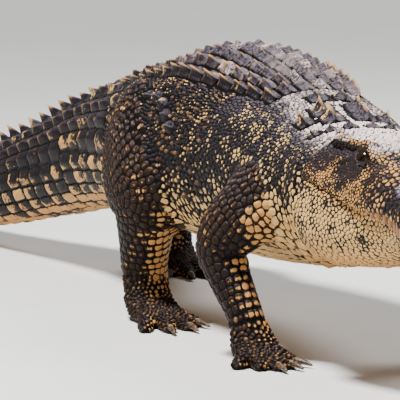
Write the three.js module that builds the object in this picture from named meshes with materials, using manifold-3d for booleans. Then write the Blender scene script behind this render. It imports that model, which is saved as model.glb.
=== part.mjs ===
// A life-size crocodile in its high walk, as a still model: millimetres, +Z up, head to +X, feet on Z = 0.
// One smooth body is parted by thin cuts into head, jaw, neck, trunk, tail lengths and lengths of each leg.
// The origin is under the middle of the whole animal.
import * as THREE from "three";
import { mergeVertices } from "three/addons/utils/BufferGeometryUtils.js";
import Module from "manifold-3d";

// ---- driving dimensions, mm; places along the spine are measured from the hips, forwards ----
const HEAD_LENGTH = 380; // snout tip to the back of the skull table
const SKULL_BACK = 842; // that back edge's place along the spine
const SKULL_TOP = 86; // skull table above the closed mouth
const SKULL_LEVEL = 332; // skull table above the ground
const HEAD_TURN = -9; // degrees, towards the right
const HEAD_LEFT = 2; // how far the skull sits left of the spine's line
const TAIL_LENGTH = 1480;
const NECK_START = 660;
const TRUNK_START = -70;
const TAIL_CUTS = [-1080, -760, -420]; // where the tail is parted into lengths
const GAP = 0.3; // width of each thin cut

// Body stations along the spine: turn (degrees) and axis (height) set its line; wide, up and down are half
// sizes of the section about it, and full is how square that section is (2 is an ellipse).
const BODY = [
  { at: -1480, turn: -46, axis: 7, wide: 4, up: 7, down: 7, full: 2.0 },
  { at: -1340, turn: -40, axis: 15, wide: 10, up: 19, down: 17, full: 2.0 },
  { at: -1160, turn: -26, axis: 27, wide: 19, up: 32, down: 30, full: 2.0 },
  { at: -960, turn: -8, axis: 43, wide: 30, up: 46, down: 46, full: 2.1 },
  { at: -800, turn: 4, axis: 70, wide: 41, up: 57, down: 57, full: 2.2 },
  { at: -620, turn: 10, axis: 108, wide: 54, up: 66, down: 68, full: 2.3 },
  { at: -420, turn: 9, axis: 157, wide: 68, up: 82, down: 80, full: 2.4 },
  { at: -240, turn: 6, axis: 196, wide: 84, up: 102, down: 88, full: 2.4 },
  { at: -70, turn: 3, axis: 222, wide: 107, up: 119, down: 102, full: 2.4 },
  { at: 90, turn: 1, axis: 238, wide: 138, up: 138, down: 124, full: 2.25 },
  { at: 260, turn: -1, axis: 247, wide: 160, up: 162, down: 142, full: 2.05 },
  { at: 420, turn: -2, axis: 248, wide: 152, up: 142, down: 142, full: 1.98 },
  { at: 560, turn: -4, axis: 248, wide: 134, up: 118, down: 132, full: 2.0 },
  { at: 660, turn: -6, axis: 248, wide: 120, up: 94, down: 120, full: 2.05 },
  { at: 740, turn: -7, axis: 252, wide: 114, up: 82, down: 110, full: 2.2 },
  { at: 812, turn: -8, axis: 258, wide: 114, up: 72, down: 104, full: 2.3 },
];
// The neck's end, in the head's frame.
const NECK_FRONT = { wide: 112, level: -6, up: 74, down: 84, full: 2.3, behind: 58 };

// Head stations, as a share of the head's length from the snout tip. Heights are above the closed mouth.
// jaw and flat are half widths of the upper jaw's edge and of the flat top, side the fullness between them.
// chin is the lower jaw's half width, under its depth, and cheek how far its muscles bulge beyond that.
const HEAD = [
  { at: 0.0, jaw: 15, top: 15, lip: -1, flat: 4, side: 2.2, chin: 9, under: -12, cheek: 0 },
  { at: 0.03, jaw: 30, top: 29, lip: -4, flat: 11, side: 2.2, chin: 20, under: -21, cheek: 0 },
  { at: 0.08, jaw: 36, top: 40, lip: -6, flat: 17, side: 2.2, chin: 24, under: -27, cheek: 0 },
  { at: 0.13, jaw: 34, top: 37, lip: -2, flat: 13, side: 2.2, chin: 25, under: -31, cheek: 0 },
  { at: 0.17, jaw: 31, top: 35, lip: 5, flat: 11, side: 2.2, chin: 34, under: -32, cheek: 0 },
  { at: 0.23, jaw: 40, top: 35, lip: -3, flat: 12, side: 2.2, chin: 29, under: -34, cheek: 0 },
  { at: 0.3, jaw: 49, top: 41, lip: -9, flat: 14, side: 2.3, chin: 35, under: -37, cheek: 0 },
  { at: 0.38, jaw: 51, top: 44, lip: -5, flat: 15, side: 2.3, chin: 39, under: -43, cheek: 0 },
  { at: 0.46, jaw: 55, top: 48, lip: 1, flat: 18, side: 2.2, chin: 43, under: -48, cheek: 0 },
  { at: 0.54, jaw: 62, top: 56, lip: 1, flat: 26, side: 2.0, chin: 49, under: -52, cheek: 0 },
  { at: 0.61, jaw: 70, top: 67, lip: 0, flat: 36, side: 1.7, chin: 57, under: -58, cheek: 0 },
  { at: 0.67, jaw: 77, top: 80, lip: 0, flat: 45, side: 1.45, chin: 69, under: -65, cheek: 2 },
  { at: 0.74, jaw: 84, top: 86, lip: 4, flat: 47, side: 1.3, chin: 80, under: -74, cheek: 6 },
  { at: 0.82, jaw: 92, top: 84, lip: 12, flat: 50, side: 1.2, chin: 91, under: -83, cheek: 11 },
  { at: 0.91, jaw: 100, top: 84, lip: 19, flat: 56, side: 1.15, chin: 99, under: -90, cheek: 16 },
  { at: 0.99, jaw: 105, top: 87, lip: 23, flat: 59, side: 1.25, chin: 104, under: -92, cheek: 18 },
  { at: 1.03, jaw: 107, top: 80, lip: 24, flat: 52, side: 1.7, chin: 106, under: -93, cheek: 18 },
  { at: 1.07, jaw: 107, top: 72, lip: 24, flat: 44, side: 2.2, chin: 107, under: -93, cheek: 17 },
];
const HEAD_RINGS = [0, 0.012, 0.03, 0.08, 0.13, 0.17, 0.23, 0.3, 0.38, 0.46, 0.54, 0.61, 0.67, 0.74, 0.82,
  0.91, 0.99, 1.03, 1.07];
const LIP_EDGE = 4; // height of the upper jaw's upright edge
const EYE_AT = 0.725;
const EYE = { out: 49, level: 62, radius: 16 };
const ORBIT = { out: 66, level: 60, radius: 17 }; // the hollow round the eye, open to the side

// Teeth: share of the head's length from the tip, thickness, and how far each stands out of its jaw.
const UPPER_TEETH = [
  [0.035, 7, 10], [0.075, 8, 13], [0.115, 8, 12], [0.235, 8, 12], [0.265, 8, 15], [0.297, 11, 22],
  [0.335, 9, 15], [0.378, 8, 13], [0.422, 9, 14], [0.468, 8, 13], [0.514, 8, 12], [0.56, 7, 10],
];
const LOWER_TEETH = [[0.032, 8, 13], [0.17, 10, 22], [0.2, 7, 11]];
const TOOTH_ROOT = 6; // how deep a tooth's root is sunk in its jaw

// Tail crest: a row of fins on each side of the back, which merge into one row behind.
const CREST = { start: -96, merge: -800, end: -1430, spread: 0.7 };
const CREST_HEIGHT = { start: 12, merge: 26, single: 34, end: 13 };
const WHORL = { first: 50, last: 27 }; // length of one ring of tail scales, at the hips and at the tip
const FIN = { half: 0.46, thick: 4.5, sunk: 6, edge: 0.8 };

// Legs: each joint's place before centring, with half sizes fore and aft, and across. heading is where the
// foot points, in degrees; spread and reach give each toe's turn from that and its share of the toe's length.
const FRONT_FOOT = { toe: 58, ball: 30, thick: 10.5, half: 34, spread: [32, 15, 0, -17, -42],
  reach: [0.78, 0.98, 1.08, 0.95, 0.78] };
const HIND_FOOT = { toe: 112, ball: 40, thick: 12, half: 38, spread: [16, 3, -10, -24],
  reach: [0.72, 0.95, 1.05, 0.98] };
const CLAWED = 3; // toes with a claw on each foot, from the inner side
const CLAW = [[-10, 9, 5.5], [8, 8.6, 4.6], [24, 2, 1.2]]; // beyond the toe's tip, height, radius
const LEGS = {
  foreleg_right: {
    side: -1, heading: 2, foot: FRONT_FOOT,
    joints: [[634, -80, 250, 58, 44], [608, -136, 207, 56, 42], [574, -164, 158, 45, 38],
      [588, -160, 116, 34, 32], [620, -148, 62, 28, 27], [632, -142, 26, 29, 30]],
  },
  foreleg_left: {
    side: 1, heading: -4, foot: FRONT_FOOT,
    joints: [[626, 60, 250, 58, 44], [660, 112, 207, 56, 42], [676, 146, 160, 45, 38],
      [714, 148, 118, 34, 32], [774, 138, 62, 28, 27], [796, 132, 26, 29, 30]],
  },
  hindleg_right: {
    side: -1, heading: 2, foot: HIND_FOOT,
    joints: [[20, -46, 248, 90, 62], [132, -116, 230, 102, 62], [222, -146, 188, 78, 52],
      [214, -144, 138, 49, 43], [194, -138, 76, 35, 36], [202, -136, 32, 34, 34]],
  },
  hindleg_left: {
    side: 1, heading: -5, foot: HIND_FOOT,
    joints: [[-4, 50, 246, 82, 60], [-94, 92, 210, 74, 50], [-180, 106, 158, 58, 44],
      [-230, 100, 122, 44, 40], [-286, 88, 74, 34, 34], [-292, 86, 34, 34, 34]],
  },
};
const BEND = 2; // the joint at which a leg's upper length ends
const WRIST = 4; // the joint at which its foot begins

// ---- how finely each form is faceted ----
const TRUNK_SPACING = 62;
const TAIL_SPACING = 60;
const BODY_SIDES = 24;
const TAIL_SIDES = 14;
const NECK_RINGS = 4;
const LEG_SIDES = 10;
const RINGS_PER_JOINT = 2;
const TOE_SIDES = 6;
const CLAW_SIDES = 5;
const TOOTH_SIDES = 4;
const EYE_SIDES = 10;
const SPINE_STEP = 5;

// ---- small tools ----
const rad = THREE.MathUtils.degToRad;
const V = (x, y, z) => new THREE.Vector3(x, y, z);
const wasm = await Module();
wasm.setup();

// The value of one field at a place between stations, on a smooth curve through them.
function along(stations, key, at) {
  const last = stations.length - 1;
  const after = stations.findIndex((station) => station.at > at);
  const i = THREE.MathUtils.clamp(after < 0 ? last - 1 : after - 1, 0, last - 1);
  const near = (k) => stations[THREE.MathUtils.clamp(k, 0, last)];
  const [before, a, b, beyond] = [near(i - 1), near(i), near(i + 1), near(i + 2)];
  const slope = (from, to) => (to[key] - from[key]) / (to.at - from.at);
  const span = b.at - a.at;
  const t = THREE.MathUtils.clamp((at - a.at) / span, 0, 1);
  const startSlope = slope(before === a ? a : before, b);
  const endSlope = slope(a, beyond === b ? b : beyond);
  return (1 + 2 * t) * (1 - t) ** 2 * a[key] + t * (1 - t) ** 2 * span * startSlope
    + t ** 2 * (3 - 2 * t) * b[key] + t ** 2 * (t - 1) * span * endSlope;
}

// The points of a ring, one for each of its sides.
const ringOf = (sides, point) => Array.from({ length: sides }, (_, k) => point((k / sides) * 2 * Math.PI));

// A closed geometry becomes a solid, turned right side out where its rings ran the other way.
function solid(geometry) {
  geometry.deleteAttribute("normal");
  geometry.deleteAttribute("uv");
  const merged = mergeVertices(geometry);
  const corners = Array.from(merged.index.array);
  const build = (triVerts) => new wasm.Manifold(new wasm.Mesh({
    numProp: 3, vertProperties: merged.attributes.position.array, triVerts: new Uint32Array(triVerts),
  }));
  const made = build(corners);
  return made.volume() > 0 ? made : build(corners.reverse());
}

// A closed surface through rings of equal point counts, its ends closed by fans, and none of it under ground.
function loft(rings) {
  const sides = rings[0].length;
  const points = rings.flat().map((p) => V(p.x, p.y, Math.max(p.z, 0)));
  const faces = [];
  for (let r = 0; r + 1 < rings.length; r++) {
    for (let k = 0; k < sides; k++) {
      const [a, b] = [r * sides + k, r * sides + ((k + 1) % sides)];
      faces.push(a, b, b + sides, a, b + sides, a + sides);
    }
  }
  for (const [first, isStart] of [[0, true], [(rings.length - 1) * sides, false]]) {
    const middle = V(0, 0, 0);
    for (let k = 0; k < sides; k++) middle.addScaledVector(points[first + k], 1 / sides);
    const hub = points.push(middle) - 1;
    for (let k = 0; k < sides; k++) {
      const [a, b] = [first + k, first + ((k + 1) % sides)];
      faces.push(hub, isStart ? b : a, isStart ? a : b);
    }
  }
  return solid(new THREE.BufferGeometry().setFromPoints(points).setIndex(faces));
}

const animal = new THREE.Group();
const HIDE = { color: 0x2f2a22, roughness: 0.6 };
const HORN = { color: 0x2a2420, roughness: 0.45 };
const EYEBALL = { color: 0x2b2410, roughness: 0.1 };

// The largest piece of a solid joins the animal as a named mesh.
function keep(name, made, look) {
  const biggest = made.decompose().sort((a, b) => b.volume() - a.volume())[0];
  const { vertProperties, triVerts } = biggest.getMesh();
  const geometry = new THREE.BufferGeometry();
  geometry.setAttribute("position", new THREE.BufferAttribute(vertProperties, 3));
  geometry.setIndex(new THREE.BufferAttribute(new Uint32Array(triVerts), 1));
  geometry.computeVertexNormals();
  const mesh = new THREE.Mesh(geometry, new THREE.MeshStandardMaterial({ metalness: 0, ...look }));
  mesh.name = name;
  animal.add(mesh);
}

// ---- the spine's line, walked in small steps from the hips ----
const rise = (s) => (along(BODY, "axis", s + 1) - along(BODY, "axis", s - 1)) / 2;

function walkSpine(way, length) {
  const places = [V(0, 0, 0)];
  for (let s = 0; Math.abs(s) < length + SPINE_STEP; s += way * SPINE_STEP) {
    const middle = s + (way * SPINE_STEP) / 2;
    const turn = rad(along(BODY, "turn", middle));
    const level = way * SPINE_STEP * Math.sqrt(1 - rise(middle) ** 2);
    places.push(places[places.length - 1].clone().add(V(Math.cos(turn) * level, Math.sin(turn) * level, 0)));
  }
  return places;
}
const AHEAD = walkSpine(1, SKULL_BACK);
const BEHIND = walkSpine(-1, TAIL_LENGTH);

// The spine's place, and the directions left and up from it.
function spine(s) {
  const line = s < 0 ? BEHIND : AHEAD;
  const steps = Math.abs(s) / SPINE_STEP;
  const k = Math.floor(steps);
  const turn = rad(along(BODY, "turn", s));
  const slope = rise(s);
  return {
    place: line[k].clone().lerp(line[k + 1], steps - k).setZ(along(BODY, "axis", s)),
    left: V(-Math.sin(turn), Math.cos(turn), 0),
    up: V(-Math.cos(turn) * slope, -Math.sin(turn) * slope, Math.sqrt(1 - slope ** 2)),
  };
}

const squared = (value, full) => Math.sign(value) * Math.abs(value) ** (2 / full);

// A point on the body's surface: angle 0 is the left side, a quarter turn the back, three quarters the belly.
function onBody(s, angle, grow = 0) {
  const { place, left, up } = spine(s);
  const full = along(BODY, "full", s);
  const tall = along(BODY, Math.sin(angle) > 0 ? "up" : "down", s) + grow;
  return place.addScaledVector(left, squared(Math.cos(angle), full) * (along(BODY, "wide", s) + grow))
    .addScaledVector(up, squared(Math.sin(angle), full) * tall);
}

function bodyLength(from, to, spacing, sides, grow = 0) {
  const count = Math.max(2, Math.round((to - from) / spacing));
  return loft(Array.from({ length: count + 1 }, (_, i) => {
    const s = from + ((to - from) * i) / count;
    return ringOf(sides, (angle) => onBody(s, angle, grow));
  }));
}

// ---- tail, with its crest ----
const whorlLength = (s) => THREE.MathUtils.mapLinear(s, 0, -TAIL_LENGTH, WHORL.first, WHORL.last);

function crestHeight(s) {
  return s > CREST.merge
    ? THREE.MathUtils.mapLinear(s, CREST.start, CREST.merge, CREST_HEIGHT.start, CREST_HEIGHT.merge)
    : THREE.MathUtils.mapLinear(s, CREST.merge, CREST.end, CREST_HEIGHT.single, CREST_HEIGHT.end);
}

// A fin is a wedge that rises towards the tail and ends in an upright edge.
function crestFin(s, off) {
  const half = whorlLength(s) * FIN.half;
  const { left } = spine(s);
  const high = crestHeight(s);
  const wedge = (front, thick, frontHigh, backHigh) =>
    [[front, 0, frontHigh], [-half, -thick, backHigh], [-half, thick, backHigh]].map(([ahead, side, above]) =>
      onBody(s + ahead, Math.PI / 2 + off, above).addScaledVector(left, side));
  const foot = wedge(half, FIN.thick, -FIN.sunk, -FIN.sunk);
  return loft([foot, wedge(-0.3 * half, FIN.edge, 0.85 * high, high)]);
}

function tailLength(from, to) {
  let made = bodyLength(from, to, TAIL_SPACING, TAIL_SIDES);
  for (let s = CREST.start; s > CREST.end; s -= whorlLength(s)) {
    const half = whorlLength(s) / 2 + FIN.edge;
    if (s - half < from || s + half > to) continue;
    const apart = CREST.spread * THREE.MathUtils.mapLinear(s, CREST.merge, CREST.start, 0.12, 1);
    for (const off of s > CREST.merge ? [-apart, apart] : [0]) made = made.add(crestFin(s, off));
  }
  return made;
}

const tailEnds = [-TAIL_LENGTH, ...TAIL_CUTS, TRUNK_START];
tailEnds.slice(1).forEach((to, i) => {
  keep("tail_" + (tailEnds.length - 1 - i), tailLength(tailEnds[i], to - GAP), HIDE);
});
keep("trunk", bodyLength(TRUNK_START, NECK_START - GAP, TRUNK_SPACING, BODY_SIDES), HIDE);

// ---- head: ahead is measured from the back of the skull table, up from the closed mouth ----
const headTurn = new THREE.Matrix4().makeRotationZ(rad(HEAD_TURN));
const skullBack = spine(SKULL_BACK).place.setZ(SKULL_LEVEL - SKULL_TOP).add(V(0, HEAD_LEFT, 0));
const inHead = (ahead, left, up) => V(ahead, left, up).applyMatrix4(headTurn).add(skullBack);
const ahead = (at) => (1 - at) * HEAD_LENGTH;
const headAt = (at, ...keys) => keys.map((key) => along(HEAD, key, at));

// A ring of the head from the outline of its left half, which starts and ends on the middle line.
function mirroredRing(at, half) {
  const left = half.map(([y, z]) => inHead(ahead(at), y, z));
  const right = half.slice(1, -1).map(([y, z]) => inHead(ahead(at), -y, z)).reverse();
  return [...left, ...right];
}

// The upper head: the flat top, the side down to the lip, and the roof of the mouth.
function upperRing(at) {
  const [jaw, top, lip, flat, side] = headAt(at, "jaw", "top", "lip", "flat", "side");
  const steps = 6;
  const outline = Array.from({ length: steps + 1 }, (_, k) => {
    const angle = (k / steps) * (Math.PI / 2);
    const edge = lip + LIP_EDGE;
    const [out, high] = [Math.sin(angle), Math.cos(angle)].map((share) => share ** (2 / side));
    return [flat + (jaw - flat) * out, edge + (top - edge) * high];
  });
  return mirroredRing(at, [[0, top], ...outline, [jaw - LIP_EDGE / 2, lip], [0, lip]]);
}

// The lower jaw, from under the same lip line down to the throat.
function lowerRing(at) {
  const [chin, under, lip, cheek] = headAt(at, "chin", "under", "lip", "cheek");
  const steps = 5;
  const edge = lip - LIP_EDGE / 2;
  const outline = Array.from({ length: steps }, (_, k) => {
    const angle = (k / steps) * (Math.PI / 2);
    const out = chin * Math.cos(angle) ** 0.7 + cheek * Math.sin(2 * angle);
    return [out, edge + (under - edge) * Math.sin(angle) ** 0.8];
  });
  return mirroredRing(at, [[0, lip - GAP], [chin - LIP_EDGE / 2, lip - GAP], ...outline, [0, under]]);
}

// A tooth is a blunt cone, sunk in its jaw and leaning a little outwards.
function tooth([at, thick, long], side, isUpper, grow = 0) {
  const [jaw, chin, lip] = headAt(at, "jaw", "chin", "lip");
  const out = isUpper ? jaw - thick * 0.5 - 1 : chin - thick * 0.4;
  const way = isUpper ? -1 : 1;
  return loft([[-TOOTH_ROOT, 0.5], [0.55 * long, 0.4], [long, 0.08]].map(([reach, share]) => {
    const radius = thick * share + grow;
    const lean = Math.max(reach, 0) * 0.06;
    return ringOf(TOOTH_SIDES, (angle) => inHead(ahead(at) + Math.cos(angle) * radius,
      side * (out + lean + Math.sin(angle) * radius), lip + way * (reach + Math.sign(reach) * grow)));
  }));
}

// A ball beside the head's middle line, where the eye is.
function ballBeside(side, { out, level, radius }, grow = 0) {
  const ball = new THREE.SphereGeometry(radius + grow, EYE_SIDES, EYE_SIDES - 4);
  const place = inHead(ahead(EYE_AT), side * out, level);
  return solid(ball.applyMatrix4(new THREE.Matrix4().makeRotationX(Math.PI / 2).setPosition(place)));
}

let upperHead = loft(HEAD_RINGS.map(upperRing));
let lowerJaw = loft(HEAD_RINGS.slice(1).map(lowerRing));
for (const side of [-1, 1]) {
  upperHead = upperHead.subtract(ballBeside(side, EYE, GAP)).subtract(ballBeside(side, ORBIT));
}
for (const side of [-1, 1]) {
  for (const item of UPPER_TEETH) upperHead = upperHead.add(tooth(item, side, true));
  for (const item of LOWER_TEETH) lowerJaw = lowerJaw.add(tooth(item, side, false));
  for (const item of LOWER_TEETH) upperHead = upperHead.subtract(tooth(item, side, false, GAP));
}
keep("head", upperHead, HIDE);
keep("lower_jaw", lowerJaw, HIDE);
keep("eye_right", ballBeside(-1, EYE), EYEBALL);
keep("eye_left", ballBeside(1, EYE), EYEBALL);

// The neck runs from the trunk to a plane across the head's line.
function neck(grow = 0) {
  const headEnd = ahead(HEAD_RINGS[HEAD_RINGS.length - 1]) - GAP + grow;
  const start = NECK_START - grow;
  const spacing = (SKULL_BACK - NECK_FRONT.behind - NECK_START) / (NECK_RINGS - 1);
  const rings = Array.from({ length: NECK_RINGS }, (_, i) =>
    ringOf(BODY_SIDES, (angle) => onBody(start + i * spacing, angle, grow)));
  rings.push(ringOf(BODY_SIDES, (angle) => {
    const tall = (Math.sin(angle) > 0 ? NECK_FRONT.up : NECK_FRONT.down) + grow;
    return inHead(headEnd, squared(Math.cos(angle), NECK_FRONT.full) * (NECK_FRONT.wide + grow),
      NECK_FRONT.level + squared(Math.sin(angle), NECK_FRONT.full) * tall);
  }));
  return loft(rings);
}
keep("neck", neck(), HIDE);

// ---- legs ----
// More joints between the stated ones, so that the limb bends smoothly.
function smoothJoints(joints) {
  const stations = joints.map((joint, at) => ({ at, ...joint }));
  return Array.from({ length: (joints.length - 1) * RINGS_PER_JOINT + 1 }, (_, i) =>
    joints[0].map((_, key) => along(stations, key, i / RINGS_PER_JOINT)));
}

const jointPlace = (joints, k) => V(...joints[THREE.MathUtils.clamp(k, 0, joints.length - 1)].slice(0, 3));
const jointWay = (joints, k) => jointPlace(joints, k + 1).sub(jointPlace(joints, k - 1)).normalize();

function limbRing(joints, k) {
  const way = jointWay(joints, k);
  const across = V(0, 1, 0).addScaledVector(way, -way.y).normalize();
  const fore = across.clone().cross(way);
  const [, , , deep, wide] = joints[k];
  return ringOf(LEG_SIDES, (angle) => jointPlace(joints, k).addScaledVector(fore, Math.cos(angle) * deep)
    .addScaledVector(across, Math.sin(angle) * wide));
}

// The level direction at an angle from straight ahead, and the one to the left of it.
const levelWay = (degrees) => V(Math.cos(rad(degrees)), Math.sin(rad(degrees)), 0);
const leftOf = (way) => V(-way.y, way.x, 0);

// A level form along a way: each station is how far out, how high, and half its thickness and width.
function levelForm(start, way, stations, sides, grow = 0) {
  return loft(stations.map(([out, high, thick, wide = thick]) => ringOf(sides, (angle) => start.clone()
    .addScaledVector(way, out).addScaledVector(leftOf(way), Math.cos(angle) * (wide + grow))
    .setZ(high + Math.sin(angle) * (thick + grow)))));
}

// Where a toe starts, its direction and its length, from the ball of the foot to the ground at its tip.
function toeLine({ side, heading, foot, joints }, digit) {
  const way = levelWay(heading - side * foot.spread[digit]);
  const [x, y] = joints[joints.length - 1];
  const inBall = foot.ball * 0.35;
  const start = V(x, y, 0).addScaledVector(way, inBall);
  return { way, start, long: foot.toe * foot.reach[digit] + foot.ball - inBall };
}

function toe(leg, digit) {
  const { start, way, long } = toeLine(leg, digit);
  const { thick } = leg.foot;
  const stations = [[0, 13, 1.2 * thick], [0.72 * long, 7.5, 0.98 * thick], [long, 0, 0.5 * thick]];
  return levelForm(start, way, stations, TOE_SIDES);
}

function claw(leg, digit, grow = 0) {
  const { start, way, long } = toeLine(leg, digit);
  const stations = CLAW.map(([beyond, high, radius]) =>
    [long + beyond + Math.sign(beyond) * grow, high, radius, radius * 0.7]);
  return levelForm(start, way, stations, CLAW_SIDES, grow);
}

// The palm or sole, from under the wrist or ankle to where the toes part.
function palm({ heading, foot, joints }) {
  const [x, y] = joints[joints.length - 1];
  const { ball, half } = foot;
  const heel = [-0.4 * ball, 25, 25, 0.75 * half];
  const stations = [heel, [0.35 * ball, 18, 25, half], [1.4 * ball, 12, 12, 0.95 * half]];
  return levelForm(V(x, y, 0), levelWay(heading), stations, LEG_SIDES);
}

// A thin flat cut across a limb at one of its joints.
function cutAcross(joints, k) {
  const size = 2.5 * joints[k][3];
  const turn = new THREE.Quaternion().setFromUnitVectors(V(0, 0, 1), jointWay(joints, k));
  const place = new THREE.Matrix4().compose(jointPlace(joints, k), turn, V(1, 1, 1));
  return solid(new THREE.BoxGeometry(size, size, GAP).applyMatrix4(place));
}

// Everything of the body that a leg runs into, grown by the width of a cut.
const bodyRoom = bodyLength(TAIL_CUTS[2], TRUNK_START, TAIL_SPACING, TAIL_SIDES, GAP)
  .add(bodyLength(TRUNK_START - GAP, NECK_START, TRUNK_SPACING, BODY_SIDES, GAP))
  .add(neck(GAP));

for (const [name, leg] of Object.entries(LEGS)) {
  const joints = smoothJoints(leg.joints);
  let whole = loft(joints.map((_, k) => limbRing(joints, k))).add(palm(leg));
  leg.foot.spread.forEach((_, digit) => {
    whole = whole.add(toe(leg, digit));
  });
  whole = whole.subtract(bodyRoom);
  for (let digit = 0; digit < CLAWED; digit++) {
    whole = whole.subtract(claw(leg, digit, GAP));
    keep(name + "_claw_" + (digit + 1), claw(leg, digit), HORN);
  }
  for (const joint of [BEND, WRIST]) whole = whole.subtract(cutAcross(joints, joint * RINGS_PER_JOINT));
  const top = (piece) => piece.boundingBox().max[2];
  const largest = whole.decompose().sort((a, b) => b.volume() - a.volume()).slice(0, 3);
  const lengths = largest.sort((a, b) => top(b) - top(a));
  ["upper", "lower", "foot"].forEach((part, i) => keep(name + "_" + part, lengths[i], HIDE));
}

// The origin goes under the middle of the animal.
const box = new THREE.Box3().setFromObject(animal, true);
const middle = box.getCenter(V(0, 0, 0));
animal.position.set(-middle.x, -middle.y, -box.min.z);
const model = new THREE.Group();
model.add(animal);

export default model;
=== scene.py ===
"""A life-size crocodile in its high walk: one hide over the whole body, with its scales, plates, teeth and claws."""
import functools
import math
from itertools import pairwise

import bpy
import numpy as np
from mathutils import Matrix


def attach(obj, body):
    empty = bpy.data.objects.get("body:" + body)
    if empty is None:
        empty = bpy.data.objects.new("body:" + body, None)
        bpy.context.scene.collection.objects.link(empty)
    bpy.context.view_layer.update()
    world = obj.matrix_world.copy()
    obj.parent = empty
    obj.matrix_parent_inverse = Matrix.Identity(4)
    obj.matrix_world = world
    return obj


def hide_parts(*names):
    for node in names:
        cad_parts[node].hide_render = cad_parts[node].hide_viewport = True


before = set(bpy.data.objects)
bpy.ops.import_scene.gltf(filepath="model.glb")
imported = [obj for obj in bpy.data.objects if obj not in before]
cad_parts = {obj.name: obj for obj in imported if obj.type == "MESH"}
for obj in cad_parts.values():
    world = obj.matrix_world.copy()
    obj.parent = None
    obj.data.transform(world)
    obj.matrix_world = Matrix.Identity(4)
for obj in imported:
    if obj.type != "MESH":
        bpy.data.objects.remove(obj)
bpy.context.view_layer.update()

import openvdb
from bpy.props import FloatProperty, FloatVectorProperty, PointerProperty
from mathutils import Vector
from mathutils.bvhtree import BVHTree
from mathutils.kdtree import KDTree

bl_info = {
    "name": "Crocodile",
    "version": (1, 0, 0),
    "blender": (4, 5, 0),
    "location": "View3D > Sidebar > Crocodile",
    "description": "Dresses the crocodile's solids with hide, scales, teeth, claws and eyes",
    "category": "Object",
}

# ---- the animal's lines, in metres: places along the spine are measured from the hips, forwards ----
ORIGIN = np.array((0.080635, 0.008067, 0.0))  # the hips' place on the floor
# at, turn in degrees, axis height, half width, half height up and down, squareness
BODY = np.array((
    (-1.480, -46, 0.007, 0.004, 0.007, 0.007, 2.0),
    (-1.340, -40, 0.015, 0.010, 0.019, 0.017, 2.0),
    (-1.160, -26, 0.027, 0.019, 0.032, 0.030, 2.0),
    (-0.960, -8, 0.043, 0.030, 0.046, 0.046, 2.1),
    (-0.800, 4, 0.070, 0.041, 0.057, 0.057, 2.2),
    (-0.620, 10, 0.108, 0.054, 0.066, 0.068, 2.3),
    (-0.420, 9, 0.157, 0.068, 0.082, 0.080, 2.4),
    (-0.240, 6, 0.196, 0.084, 0.102, 0.088, 2.4),
    (-0.070, 3, 0.222, 0.107, 0.119, 0.102, 2.4),
    (0.090, 1, 0.238, 0.138, 0.138, 0.124, 2.25),
    (0.260, -1, 0.247, 0.160, 0.162, 0.142, 2.05),
    (0.420, -2, 0.248, 0.152, 0.142, 0.142, 1.98),
    (0.560, -4, 0.248, 0.134, 0.118, 0.132, 2.0),
    (0.660, -6, 0.248, 0.120, 0.094, 0.120, 2.05),
    (0.740, -7, 0.252, 0.114, 0.082, 0.110, 2.2),
    (0.812, -8, 0.258, 0.114, 0.072, 0.104, 2.3)))
AT, TURN, AXIS, WIDE, UP, DOWN, FULL = range(7)
BACK, BELLY = math.pi / 2, 1.5 * math.pi  # angles round the body, from its left side
SPINE_STEP = 0.005
TAIL_END, NECK_START, BODY_END, SKULL_BACK = -1.480, 0.44, 0.784, 0.842
# the neck's last ring, inside the head: half width, level of its middle, half heights, squareness, how far ahead
NECK_FRONT = {"wide": 0.112, "level": -0.006, "up": 0.074, "down": 0.084, "full": 2.3, "ahead": -0.027}
# share of the head's length from the snout tip; then half width of the upper jaw, level of its top and of its lip,
# half width of its flat top and squareness of its side; then half width and underside of the lower jaw, and the
# bulge of its cheek. Levels are from the mouth's, and all but the share and the squareness are written in mm.
HEAD = np.array((
    (0.0, 15, 15, -1, 4, 2.2, 9, -12, 0), (0.03, 30, 29, -4, 11, 2.2, 20, -21, 0),
    (0.08, 36, 40, -6, 17, 2.2, 24, -27, 0), (0.13, 34, 37, -2, 13, 2.2, 25, -31, 0),
    (0.17, 31, 35, 5, 11, 2.2, 34, -32, 0), (0.23, 40, 35, -3, 12, 2.2, 29, -34, 0),
    (0.3, 49, 41, -9, 14, 2.3, 35, -37, 0), (0.38, 51, 44, -5, 15, 2.3, 39, -43, 0),
    (0.46, 55, 48, 1, 18, 2.2, 43, -48, 0), (0.54, 62, 56, 1, 26, 2.0, 49, -52, 0),
    (0.61, 70, 67, 0, 36, 1.7, 57, -58, 0), (0.67, 77, 80, 0, 45, 1.45, 69, -65, 2),
    (0.74, 84, 86, 4, 47, 1.3, 80, -74, 6), (0.82, 92, 84, 12, 50, 1.2, 91, -83, 11),
    (0.91, 100, 84, 19, 56, 1.15, 99, -90, 16), (0.99, 105, 87, 23, 59, 1.25, 104, -92, 18),
    (1.03, 107, 80, 24, 52, 1.7, 106, -93, 18), (1.07, 107, 72, 24, 44, 2.2, 107, -93, 17)))
HEAD[:, [1, 2, 3, 4, 6, 7, 8]] *= 0.001
HEAD_END, HEAD_MEETS = HEAD[-1, 0], 1.045  # where its solids end, and where its scales give way to the neck's
JAW, TOP, LIP, FLAT, SIDE, CHIN, UNDER, CHEEK = range(1, 9)
HEAD_LENGTH, HEAD_TURN, HEAD_LEFT, MOUTH_LEVEL = 0.380, math.radians(-9), 0.002, 0.246
LIP_EDGE = 0.004
# how far the hide lies under the solids' outlines, which the scales stand up to; the trunk's and the dorsal
# shield's are added to that of the tail's tip
INSET = {"head": 0.0015, "leg": 0.003, "foot": 0.0015, "neck": 0.004, "tip": 0.0015, "trunk": 0.0025,
         "shield": 0.007}
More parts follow.
